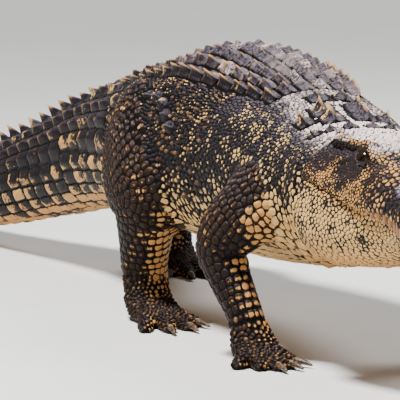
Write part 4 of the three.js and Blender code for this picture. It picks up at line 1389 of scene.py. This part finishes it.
class Net:
    """A node tree that nodes are added to."""

    def __init__(self, tree):
        self.tree = tree

    def node(self, kind, settings=None, values=None):
        """Adds a node: its settings are set first, then the values or links of its sockets."""
        made = self.tree.nodes.new(kind)
        for key, value in (settings or {}).items():
            setattr(made, key, value)
        for key, value in (values or {}).items():
            if isinstance(value, Sum):
                self.tree.links.new(value.socket, made.inputs[key])
            else:
                made.inputs[key].default_value = value
        return Made(self, made)

    def attribute(self, name):
        return self.node("ShaderNodeAttribute", {"attribute_name": name})

    def noise(self, where, scale, detail, rough=0.55, twist=0.0):
        values = {"Vector": where, "Scale": scale, "Detail": detail, "Roughness": rough, "Distortion": twist}
        return self.node("ShaderNodeTexNoise", {}, values)[0]

    def step(self, low, high, value, to_low=0.0, to_high=1.0):
        """A soft step from one value to another, as the value goes from low to high."""
        values = {0: value, 1: low, 2: high, 3: to_low, 4: to_high}
        return self.node("ShaderNodeMapRange", {"interpolation_type": "SMOOTHSTEP"}, values)[0]

    def mix(self, share, a, b):
        a, b = (value if isinstance(value, Sum) else (*value, 1.0) for value in (a, b))
        return self.node("ShaderNodeMix", {"data_type": "RGBA"}, {0: share, 6: a, 7: b})[2]

    def vector(self, operation, *values):
        return self.node("ShaderNodeVectorMath", {"operation": operation}, dict(enumerate(values)))[0]

    def split(self, value):
        made = self.node("ShaderNodeSeparateXYZ", {}, {0: value})
        return made[0], made[1], made[2]

    def combine(self, x, y, z):
        return self.node("ShaderNodeCombineXYZ", {}, {0: x, 1: y, 2: z})[0]


def new_material(name):
    """An empty material, its net, and the Object coordinates."""
    material = bpy.data.materials.new(name)
    material.use_nodes = True
    material.node_tree.nodes.clear()
    net = Net(material.node_tree)
    return material, net, net.node("ShaderNodeTexCoord")["Object"]


def finish_material(net, colour, roughness, height, depth, constants):
    """The shader with its bump, and the output."""
    bump = net.node("ShaderNodeBump", {}, {"Strength": 1.0, "Distance": depth, "Height": height})["Normal"]
    values = {"Base Color": colour, "Roughness": roughness, "Normal": bump, **constants}
    shader = net.node("ShaderNodeBsdfPrincipled", {}, values)["BSDF"]
    net.node("ShaderNodeOutputMaterial", {}, {"Surface": shader})


def hide_material(name, finish, depth):
    """The animal's markings, worked out alike on the hide and on every scale, with painted highlights on the crowns
    and painted shade between scales, and a bump that deep.
    """
    material, net, where = new_material(name)
    pale, warm, bleach_and_highlight = net.split(net.attribute("mark")["Vector"])
    relief = net.attribute("relief")
    crown, tip, tone = net.split(relief["Vector"])
    patch = net.noise(where, 38.0, 2.0, 0.5, 0.4)
    blotch = net.noise(where, 11.0, 2.0)
    speck = net.noise(where, 240.0, 3.0, 0.6)
    grain = net.noise(where, 950.0, 2.0, 0.6)
    mask = (pale + (tone - 0.5) * 0.36 + (patch - 0.5) * 1.2 + (blotch - 0.5) * 0.45 + (speck - 0.5) * 0.85
            + (relief["Alpha"] - 0.5) * 0.42 + (crown - 0.85) * 0.75)
    dark = net.mix(net.step(0.40, 1.05, warm + (blotch - 0.5)), finish.dark, finish.brown)
    # painted highlight, partly a dusting: grey-lilac on the crowns of scales that face up, more where the top of the
    # back is painted lit
    upward = net.split(net.node("ShaderNodeNewGeometry")["Normal"])[2]
    dust_and_highlight_share = net.step(0.35, 1.0, crown) * net.step(0.32, 0.66, speck) * net.step(0.05, 0.95, upward)
    dark = net.mix(dust_and_highlight_share * (bleach_and_highlight * 1.35 + 0.26), dark, finish.dust_and_highlight)
    light = net.mix(net.step(0.25, 0.85, warm + (patch - 0.5) * 0.9 + (tone - 0.5) * 0.15), finish.cream, finish.tan)
    light = net.mix(net.step(0.55, 0.35, grain) * 0.45, light, finish.brown)
    colour = net.mix(net.step(0.43, 0.62, mask), dark, light)
    # the weathered pale colour of the skull and nape, brightened as painted highlight, which also paints the
    # highlight over the top of the back
    faded_and_highlight = net.mix(net.step(0.53, 0.66, speck + (tone - 0.5) * 0.25), finish.bleached_and_highlight, finish.brown)
    colour = net.mix(net.step(0.25, 0.75, bleach_and_highlight + (tone - 0.5) * 0.35 + (patch - 0.5) * 0.5), colour, faded_and_highlight)
    colour = net.mix(net.step(0.20, 0.75, tip + (speck - 0.5) * 0.3), colour, finish.tip)
    # painted shade, partly dark skin: the edges of every scale go to near-black for the shadow in the gaps between
    # scales, and to a brown between pale scales
    groove = net.mix(net.step(0.64, 1.0, pale) * 0.75, finish.groove, finish.fold_and_shade)
    colour = net.mix(net.step(0.42, 0.05, crown), colour, groove)
    roughness = net.step(0.2, 0.8, speck, 0.36, 0.60) - crown * 0.06
    streak = net.noise(net.vector("MULTIPLY", where, (1.0, 1.0, 0.28)), 260.0, 2.0)
    height = speck * 0.5 + grain * 0.25 + streak * 0.8
    finish_material(net, colour, roughness, height, depth, {"Specular IOR Level": 0.07})
    return material


def tooth_material(finish):
    """Stained at the root and paler at the tip, with fine streaks."""
    material, net, where = new_material("tooth")
    near = net.attribute("near_tip")["Fac"]
    cloud = net.noise(where, 160.0, 3.0)
    streak = net.noise(net.vector("MULTIPLY", where, (1.0, 1.0, 0.12)), 900.0, 2.0)
    colour = net.mix(net.step(0.20, 0.72, near + (cloud - 0.5) * 0.5), finish.tooth_root, finish.tooth)
    colour = net.mix(net.step(0.50, 0.75, streak) * 0.4, colour, finish.tooth_root)
    finish_material(net, colour, net.step(0.3, 0.7, cloud, 0.22, 0.42), streak + cloud * 0.5, 0.0004, {})
    return material


def claw_material(finish):
    """Dark horn with pale streaks, worn at the tip."""
    material, net, where = new_material("claw")
    near = net.attribute("near_tip")["Fac"]
    streak = net.noise(net.vector("MULTIPLY", where, (0.35, 1.0, 1.0)), 520.0, 3.0)
    cloud = net.noise(where, 90.0, 3.0)
    colour = net.mix(net.step(0.55, 1.05, near + (cloud - 0.5) * 0.5), finish.claw, finish.claw_tip)
    colour = net.mix(net.step(0.48, 0.72, streak) * 0.55, colour, finish.tan)
    finish_material(net, colour, net.step(0.3, 0.7, streak, 0.34, 0.58), streak + cloud * 0.5, 0.0006, {})
    return material


def eye_material(finish):
    """A dark iris with veins like rays and an upright slit, under a thin wet coat."""
    material, net, where = new_material("eye")
    along_eye, above, away = net.split(net.attribute("gaze")["Vector"])
    far = (along_eye * along_eye + above * above) ** 0.5
    slit = net.step(0.10, 0.15, along_eye.maths("ABSOLUTE", along_eye) + above * above * 0.20)
    turn = above.maths("ARCTAN2", above, along_eye)
    rays = net.noise(net.combine(turn * 2.2, far * 5.0, away), 6.0, 4.0, 0.6)
    iris = net.mix(net.step(0.30, 0.72, rays), finish.iris, finish.iris_vein)
    iris = net.mix(net.step(0.55, 0.80, far), iris, finish.groove)
    colour = net.mix(slit, finish.groove, iris)
    colour = net.mix(net.step(0.86, 1.0, far), colour, finish.brown)
    cloud = net.noise(where, 300.0, 2.0)
    finish_material(net, colour, net.step(0.3, 0.7, cloud, 0.10, 0.18), cloud, 0.00004,
                    {"Coat Weight": 0.15, "Coat Roughness": 0.02, "Specular IOR Level": 0.2})
    return material


def floor_material(finish):
    """A plain pale floor that glows far from the animal, so that it reaches an even pale distance."""
    material, net, where = new_material("floor")
    cloud = net.noise(where, 3.0, 3.0)
    grain = net.noise(where, 400.0, 2.0)
    colour = net.mix(net.step(0.35, 0.65, cloud), finish.floor, [v * 0.96 for v in finish.floor])
    east, north, _ = net.split(where)
    far = (east * east + north * north) ** 0.5
    glow = net.mix(net.step(2.0, 8.0, far), (0.0, 0.0, 0.0), finish.floor)
    finish_material(net, colour, net.step(0.3, 0.7, grain, 0.62, 0.72), grain, 0.0002,
                    {"Emission Color": glow, "Emission Strength": 0.9})
    return material


# ---- Geometry Nodes: one small shape set on many places ----
def stamp_points(name, points, data):
    """A loose mesh of points with their attributes, for the nodes to work on."""
    mesh = bpy.data.meshes.new(name)
    mesh.vertices.add(len(points))
    mesh.vertices.foreach_set("co", np.asarray(points, np.float32).ravel())
    for key, values in data.items():
        set_attribute(mesh, key, "FLOAT" if values.ndim == 1 else "FLOAT_VECTOR", values)
    return add_object(name, mesh)


def named(net, name, kind):
    """The named attribute's socket."""
    return net.node("GeometryNodeInputNamedAttribute", {"data_type": kind}, {"Name": name})["Attribute"]


def store(net, geometry, name, kind, value, domain="POINT"):
    """The geometry with a value stored under a name."""
    values = {"Geometry": geometry, "Name": name, "Value": value}
    return net.node("GeometryNodeStoreNamedAttribute", {"data_type": kind, "domain": domain}, values)["Geometry"]


def new_tree(name, inputs):
    """A Geometry Nodes tree with its named inputs and their sockets."""
    tree = bpy.data.node_groups.new(name, "GeometryNodeTree")
    tree.interface.new_socket("Geometry", in_out="INPUT", socket_type="NodeSocketGeometry")
    for key, kind in inputs.items():
        tree.interface.new_socket(key, in_out="INPUT", socket_type="NodeSocket" + kind)
    tree.interface.new_socket("Geometry", in_out="OUTPUT", socket_type="NodeSocketGeometry")
    net = Net(tree)
    return tree, net, net.node("NodeGroupInput")


def set_stamps(net, points, shape, material):
    """Sets the shape on each point, turned to its normal and lie and sized by its three sizes."""
    turn = net.node("FunctionNodeAxesToRotation", {"primary_axis": "Z", "secondary_axis": "X"},
                    {0: named(net, "facing", "FLOAT_VECTOR"), 1: named(net, "lie", "FLOAT_VECTOR")})[0]
    values = {"Points": points, "Instance": shape, "Rotation": turn, "Scale": named(net, "size", "FLOAT_VECTOR")}
    placed = net.node("GeometryNodeInstanceOnPoints", {}, values)["Instances"]
    solid = net.node("GeometryNodeRealizeInstances", {}, {"Geometry": placed})["Geometry"]
    shaded = net.node("GeometryNodeSetShadeSmooth", {}, {0: solid, "Shade Smooth": True})[0]
    return net.node("GeometryNodeSetMaterial", {}, {"Geometry": shaded, "Material": material})["Geometry"]


def cone(net, sides, rings, base):
    """A cone of radius and height 1, and the x, y and z of its points."""
    values = {"Vertices": sides, "Side Segments": rings, "Radius Top": 0.0, "Radius Bottom": 1.0, "Depth": 1.0}
    made = net.node("GeometryNodeMeshCone", {"fill_type": base}, values)["Mesh"]
    return made, *net.split(net.node("GeometryNodeInputPosition")[0])


def moved(net, shape, place):
    """The shape with its points at new places."""
    return net.node("GeometryNodeSetPosition", {}, {"Geometry": shape, "Position": place})["Geometry"]


def granule_tree():
    """A low keeled dome for each granule, leaning back over the next, with its bake patch."""
    tree, net, given = new_tree("granules", {"Height": "Float", "Keel": "Float", "Lean": "Float",
                                             "Material": "Material"})
    shape, x, y, _ = cone(net, 8, 3, "NONE")
    far = (x * x + y * y) ** 0.5
    dome = 1.0 - far ** 2.6
    keel = net.step(0.42, 0.0, y.maths("ABSOLUTE", y)) * net.step(1.0, 0.5, far)
    lift = dome * given["Height"] + keel * given["Keel"] + x * given["Lean"] - 0.12
    shape = moved(net, shape, net.combine(x + keel * 0.10, y, lift))
    shape = store(net, shape, "local", "FLOAT_VECTOR", net.combine(x, y, 0.0))
    shape = store(net, shape, "crown", "FLOAT", net.step(1.0, 0.22, far))
    solid = set_stamps(net, given["Geometry"], shape, given["Material"])
    local = named(net, "local", "FLOAT_VECTOR")
    crown, keeled, tone = (named(net, name, "FLOAT") for name in ("crown", "keeled", "tone"))
    parts = {0: crown, 1: keeled, 2: tone, 3: net.split(local)[0] * 0.5 + 0.5}
    solid = store(net, solid, "relief", "FLOAT_COLOR", net.node("FunctionNodeCombineColor", {}, parts)[0])
    patch = net.vector("MULTIPLY", local, (BAKE_PATCH, BAKE_PATCH, 0))
    spot = net.vector("ADD", named(net, "root", "FLOAT_VECTOR"), patch)
    solid = store(net, solid, "OFBake", "FLOAT2", spot, "CORNER")
    net.node("NodeGroupOutput", {}, {0: solid})
    return tree


def horn_tree():
    """A curved cone for each tooth or claw: it grows along its lie and hooks towards its facing."""
    tree, net, given = new_tree("horns", {"Hook": "Float", "Taper": "Float", "Material": "Material"})
    shape, x, y, z = cone(net, 12, 9, "TRIANGLE_FAN")
    slim = (1.0 - z ** given["Taper"]) ** 0.5 / (1.0001 - z)
    shape = moved(net, shape, net.combine(z, y * slim * -1.0, x * slim + z * z * given["Hook"]))
    shape = store(net, shape, "near_tip", "FLOAT", z)
    net.node("NodeGroupOutput", {}, {0: set_stamps(net, given["Geometry"], shape, given["Material"])})
    return tree


def run_tree(made, tree, inputs):
    """Sets the tree on an object with its inputs, and keeps the plain mesh that it makes."""
    modifier = made.modifiers.new("nodes", "NODES")
    modifier.node_group = tree
    sockets = {item.name: item.identifier for item in tree.interface.items_tree if item.in_out == "INPUT"}
    for key, value in inputs.items():
        modifier[sockets[key]] = value
    mesh = apply_modifiers(made)
    for extra in ("facing", "lie", "size", "tone", "root", "local", "crown", "keeled"):
        if extra in mesh.attributes:
            mesh.attributes.remove(mesh.attributes[extra])
    return made


# ---- the pieces ----
def make_granules(name, material, where, radii, sizes):
    """The small scales of the flanks, legs and feet."""
    rng = np.random.default_rng(11)
    count = len(radii)
    keeled = rng.random(count) ** 2 * 0.42
    normal = where["normal"]
    way = lie(where, normal)
    stretch = 1.40 / np.linalg.norm(way * stretches(where), axis=1)
    size = np.stack((radii * stretch, radii * 1.26, radii * rng.uniform(1.0, 1.40, count)), -1)
    data = {"facing": normal, "lie": way, "size": size, "tone": rng.random(count), "keeled": keeled,
            "root": np.column_stack((unwrap(where), np.zeros(count))), "mark": markings(where, normal)}
    tree = bpy.data.node_groups.get("granules") or granule_tree()
    inputs = {"Height": sizes.granule_height, "Keel": sizes.granule_keel, "Lean": 0.12, "Material": material}
    return run_tree(stamp_points(name, where["points"], data), tree, inputs)


def make_shields(name, material, where, radii, sizes, surface, seed):
    """The many-sided scales of one part of the animal."""
    rng = np.random.default_rng(seed)
    count, points = len(radii), where["points"]
    head, leg = where["head"], where["leg"]
    outward = smooth(0.0, 0.8, where["normal"][:, 1] * leg_sides(where))
    height = np.where(head, np.where(where["level"] < 0.0, 0.11, 0.15), np.where(leg, 0.19, 0.22))
    height = height * rng.uniform(0.8, 1.25, count)
    keel = np.where(leg, 0.06 + 0.26 * outward * smooth(2.9, 1.6, where["k"]), 0.05) * rng.uniform(0.5, 1.3, count)
    neck = 0.16 * rng.uniform(0.3, 1.5, count)
    keel = np.where(head, 0.02, np.where(leg | (where["s"] < NECK_START), keel, neck))
    tone = 0.5 + (rng.random(count) - 0.5) * np.where(leg, 0.45, np.where(head, 0.85, 1.0))
    walls, room = cell_walls(plate_cells()), 0.02
    walls = walls[np.all((walls > points.min(0) - room) & (walls < points.max(0) + room), 1)]
    return shields(name, material, where, radii, height, keel, tone, surface, walls, sizes.groove)


def make_horns(name, rows, hook, taper, material):
    """Curved cones. A row is a cone's place, the way it hooks, the way it grows, its length and its thickness."""
    spots, facing, growth, long, thick = (np.array(column) for column in zip(*rows))
    data = {"facing": facing, "lie": growth, "size": np.stack((long, thick / 2, thick / 2), -1)}
    tree = bpy.data.node_groups.get("horns") or horn_tree()
    return run_tree(stamp_points(name, spots, data), tree, {"Hook": hook, "Taper": taper, "Material": material})


def make_teeth(material):
    """Both rows of teeth, each a little sunk in its jaw and leaning outwards."""
    rows = []
    for teeth, column, way, inset in ((UPPER_TEETH, JAW, -1, 0.0068), (LOWER_TEETH, CHIN, 1, 0.0015)):
        for at, wide, tall in teeth:
            out, lip = float(along(HEAD, column, at)), float(along(HEAD, LIP, at))
            ahead = 0.010 * max(0, 0.05 - at) / 0.05
            for side in (-1, 1):
                spot = in_head(at - ahead, side * (out - inset), lip - way * 0.004)
                lean = unit(np.array((0.15 if at < 0.1 else -0.05, side * 0.16, way)) @ HEAD_AXES)
                inward = np.array((-0.4, -side, 0.0)) @ HEAD_AXES
                inward = unit(inward - lean * dot(inward, lean))
                rows.append((spot, inward, lean, tall * 0.00085 + 0.004, wide * 0.001))
    return make_horns("teeth", rows, 0.35, 1.6, material)


def make_claws(material):
    """A claw at the end of each foot's first toes."""
    rows, up = [], np.array((0, 0, 1.0))
    for leg in LEGS.values():
        for digit in range(CLAWED):
            start, way, reach = toe_line(leg, digit)
            spot = start * (1, 1, 0) + way * (reach - CLAW["root"]) + up * CLAW["level"]
            rows.append((spot, unit(up - way * 0.05), unit(way + up * 0.05), CLAW["long"], CLAW["thick"]))
    return make_horns("claws", rows, -1.25, 1.5, material)


def make_eye(name, side, material):
    """An eyeball, whose points keep their place round its gaze."""
    middle, gaze, fore, above = eye_axes(side)
    polar = np.linspace(0, math.pi, 30)[1:-1, None]
    turn = side * 2 * math.pi * np.arange(48)[None] / 48
    out, ahead = np.sin(polar), np.cos(polar)
    local = np.stack(np.broadcast_arrays(out * np.cos(turn), out * np.sin(turn), ahead), -1)
    rows, sides = local.shape[:2]
    local = np.concatenate((local.reshape(-1, 3), [(0, 0, 1), (0, 0, -1)]))
    points = middle + (local @ np.stack((fore, above, gaze))) * (EYE_RADIUS - 0.0002)
    end = rows * sides
    quads = grid_quads(rows, sides)[:, (0, 3, 2, 1)]
    caps = np.concatenate((fan(end, sides, 0), fan(end + 1, sides, end - sides)[:, (0, 2, 1)]))
    if faces_in(points, quads, middle):
        quads, caps = quads[:, ::-1], caps[:, ::-1]
    made = make_object(name, points, (quads, caps), material)
    set_attribute(made.data, "gaze", "FLOAT_VECTOR", local)
    return made


# ---- the add-on ----
def tint(name, description, default):
    """A colour of the add-on's finish."""
    return FloatVectorProperty(name=name, description=description, default=default, subtype="COLOR", min=0, max=1)


class CrocodileFinish(bpy.types.PropertyGroup):
    """Colours of the animal and the floor."""
    dark: tint("Dark", "Blue-black of the back's scales", (0.0080, 0.0062, 0.0072))
    brown: tint("Brown", "Brown-black between and in the pale markings", (0.023, 0.0115, 0.0058))
    # grey-lilac on the crowns that face up: partly a dusting, partly painted highlight
    dust_and_highlight: tint("Dust", "Grey-lilac dust on the crowns of dark scales", (0.16, 0.135, 0.165))
    cream: tint("Cream", "Pale markings of the flanks", (0.68, 0.43, 0.16))
    tan: tint("Tan", "Warm markings of the flanks, cheeks and tail", (0.54, 0.27, 0.08))
    # weathered pale skin of the skull and nape, brightened as painted highlight; it also paints the highlight over
    # the top of the back
    bleached_and_highlight: tint("Bleached", "Faded skin of the skull and nape", (0.76, 0.61, 0.59))
    tip: tint("Keel tips", "Worn orange-brown tips of the keels", (0.42, 0.22, 0.09))
    # dark skin between scales, deepened into painted shade in the gaps; the brown one is the same between pale scales
    groove: tint("Grooves", "Skin between the dark scales", (0.0030, 0.0024, 0.0024))
    fold_and_shade: tint("Folds", "Skin between the pale scales", (0.15, 0.075, 0.032))
    tooth: tint("Teeth", "Tips of the teeth", (0.58, 0.39, 0.19))
    tooth_root: tint("Tooth roots", "Stained roots of the teeth", (0.30, 0.12, 0.035))
    claw: tint("Claws", "Dark horn of the claws", (0.020, 0.015, 0.012))
    claw_tip: tint("Claw tips", "Worn tips of the claws", (0.24, 0.16, 0.09))
    iris: tint("Iris", "Dark brown of the iris", (0.008, 0.004, 0.0025))
    iris_vein: tint("Iris veins", "Lighter veins of the iris", (0.024, 0.012, 0.005))
    floor: tint("Floor", "Plain pale floor", (0.72, 0.71, 0.69))


class CrocodileSizes(bpy.types.PropertyGroup):
    """Sizes of the scales."""
    groove: FloatProperty(name="Groove", description="Half the groove between two scales", default=0.0006,
                          min=0, unit="LENGTH")
    granule_height: FloatProperty(name="Granule height", description="Dome of a granule, as a share of its radius",
                                  default=0.55, min=0, subtype="FACTOR")
    granule_keel: FloatProperty(name="Granule keel", description="Keel of a granule, as a share of its radius",
                                default=0.22, min=0, subtype="FACTOR")


def settings():
    """The colours and the sizes."""
    scene = bpy.context.scene
    return scene.crocodile_finish, scene.crocodile_sizes


def coat_material():
    """The one material of every scale and plate."""
    return bpy.data.materials.get("scales") or hide_material("scales", settings()[0], 0.0010)


def settle_piece(piece, slot, *nodes):
    """Puts a finished piece on the body and hides the nodes that it stands for. The slot is not used."""
    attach(piece, "root")
    if nodes:
        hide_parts(*nodes)


FLOOR_HALF = 14.0
SKY = {"Color": (0.90, 0.93, 1.0, 1.0), "Strength": 0.15}
# each light's name, place, power and width; all are turned to one spot on the animal
LIGHTS = (("key", (1.0, -1.6, 4.5), 680, 0.8), ("back", (-1.2, 2.4, 3.2), 140, 1.6),
          ("fill", (5.0, -2.6, 1.4), 26, 2.2))
LIT_SPOT = (0.35, -0.1, 0.2)
# turn and rise in degrees and distance from the spot that the camera looks at, lens and sensor in mm
CAMERA = {"azimuth": 69, "elevation": 7, "away": 6.102, "spot": (0.5236, -0.1389, 0.202), "lens": 391.59,
          "sensor": 36}


def look(made, way):
    """Turns a light or the camera to look along a way."""
    made.rotation_euler = way.to_track_quat("-Z", "Y").to_euler()


class CROCODILE_OT_stage(bpy.types.Operator):
    """Make the floor, the lights and the camera"""
    bl_idname = "crocodile.stage"
    bl_label = "Stage"

    def execute(self, context):
        scene = context.scene
        corners = np.array(((-1, -1, 0), (1, -1, 0), (1, 1, 0), (-1, 1, 0))) * FLOOR_HALF
        floor = make_object("floor", corners, (np.array(((0, 1, 2, 3),)),), floor_material(settings()[0]), False)
        world = bpy.data.worlds.new("studio")
        world.use_nodes = True
        scene.world = world
        for key, value in SKY.items():
            world.node_tree.nodes["Background"].inputs[key].default_value = value
        for name, place, power, wide in LIGHTS:
            light = bpy.data.lights.new(name, "AREA")
            light.energy, light.size = power, wide
            made = add_object(name, light)
            made.location = place
            look(made, Vector(LIT_SPOT) - made.location)
        azimuth, elevation = math.radians(CAMERA["azimuth"]), math.radians(CAMERA["elevation"])
        back = Vector((math.sin(azimuth) * math.cos(elevation), -math.cos(azimuth) * math.cos(elevation),
                       math.sin(elevation)))
        camera = bpy.data.cameras.new("camera")
        camera.lens, camera.sensor_width, camera.clip_end = CAMERA["lens"], CAMERA["sensor"], 100
        made = add_object("camera", camera)
        made.location = Vector(CAMERA["spot"]) + back * CAMERA["away"]
        look(made, -back)
        scene.camera = made
        return {"FINISHED"}


class CROCODILE_OT_hide(bpy.types.Operator):
    """Make the hide over the whole body, with the lids"""
    bl_idname = "crocodile.hide"
    bl_label = "Hide"

    def execute(self, context):
        hide = make_hide(hide_material("hide", settings()[0], 0.0014))
        flesh = [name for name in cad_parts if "claw" not in name and not name.startswith("eye_")]
        settle_piece(hide, "hide", *flesh)
        return {"FINISHED"}


class CROCODILE_OT_plates(bpy.types.Operator):
    """Make the plates of the tail, its crest, the back, the nape, the flanks and the belly"""
    bl_idname = "crocodile.plates"
    bl_label = "Plates"

    def execute(self, context):
        for seed, (name, cells) in enumerate(plate_groups().items()):
            settle_piece(plates(f"{name}_plates_1", coat_material(), cells, seed, *PLATE_LOOKS[name]), "hide")
        return {"FINISHED"}


class CROCODILE_OT_scales(bpy.types.Operator):
    """Make the free scales of the legs, neck and head, and the granules between the plates"""
    bl_idname = "crocodile.scales"
    bl_label = "Scales"

    def execute(self, context):
        _, sizes = settings()
        surface = hide_tree()
        where, radii = free_scales(surface)
        head, leg, body = where["head"], where["leg"], where["body"]
        neck = body & (where["s"] > NECK_START)
        fine = ~head & ~neck & (radii < np.where(leg, FINE["leg"], FINE["body"]))
        front, upper = where["which"] < FORELEGS, over_lip(where["at"], where["level"]) > 0
        groups = {
            "granules_flank": fine & body, "granules_leg": fine & leg, "scales_foreleg": ~fine & leg & front,
            "scales_hindleg": ~fine & leg & ~front, "scales_body": ~fine & body & ~neck, "scales_neck": neck,
            "scales_skull": head & upper & (where["left"] < 0),
            "scales_skull_left": head & upper & (where["left"] >= 0), "scales_jaw": head & ~upper}
        for seed, (name, rows) in enumerate(groups.items(), 30):
            given = name, coat_material(), take(where, rows), radii[rows], sizes
            if name.startswith("granules"):
                settle_piece(make_granules(*given), "hide")
            else:
                settle_piece(make_shields(*given, surface, seed), "hide")
        return {"FINISHED"}


class CROCODILE_OT_teeth(bpy.types.Operator):
    """Make the teeth"""
    bl_idname = "crocodile.teeth"
    bl_label = "Teeth"

    def execute(self, context):
        settle_piece(make_teeth(tooth_material(settings()[0])), None)
        return {"FINISHED"}


class CROCODILE_OT_claws(bpy.types.Operator):
    """Make the claws"""
    bl_idname = "crocodile.claws"
    bl_label = "Claws"

    def execute(self, context):
        nodes = [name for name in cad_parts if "claw" in name]
        settle_piece(make_claws(claw_material(settings()[0])), "claw", *nodes)
        return {"FINISHED"}


class CROCODILE_OT_eyes(bpy.types.Operator):
    """Make the eyes"""
    bl_idname = "crocodile.eyes"
    bl_label = "Eyes"

    def execute(self, context):
        material = eye_material(settings()[0])
        for name, side in (("right", -1), ("left", 1)):
            settle_piece(make_eye("eyeball_" + name, side, material), "eye", "eye_" + name)
        return {"FINISHED"}


OPERATORS = (CROCODILE_OT_stage, CROCODILE_OT_hide, CROCODILE_OT_plates, CROCODILE_OT_scales, CROCODILE_OT_teeth,
             CROCODILE_OT_claws, CROCODILE_OT_eyes)


class CROCODILE_PT_panel(bpy.types.Panel):
    """Lists the pieces in the order that they are made"""
    bl_label = "Crocodile"
    bl_idname = "CROCODILE_PT_panel"
    bl_space_type = "VIEW_3D"
    bl_region_type = "UI"
    bl_category = "Crocodile"

    def draw(self, context):
        for operator in OPERATORS:
            self.layout.operator(operator.bl_idname)
        for group in settings():
            for key in group.__annotations__:
                self.layout.prop(group, key)


CLASSES = (CrocodileFinish, CrocodileSizes, *OPERATORS, CROCODILE_PT_panel)


def register():
    for one in CLASSES:
        bpy.utils.register_class(one)
    bpy.types.Scene.crocodile_finish = PointerProperty(type=CrocodileFinish)
    bpy.types.Scene.crocodile_sizes = PointerProperty(type=CrocodileSizes)


def unregister():
    del bpy.types.Scene.crocodile_finish, bpy.types.Scene.crocodile_sizes
    for one in reversed(CLASSES):
        bpy.utils.unregister_class(one)


def main():
    register()
    for operator in OPERATORS:
        getattr(bpy.ops.crocodile, operator.bl_idname.split(".")[1])()


if __name__ == "__main__":
    main()
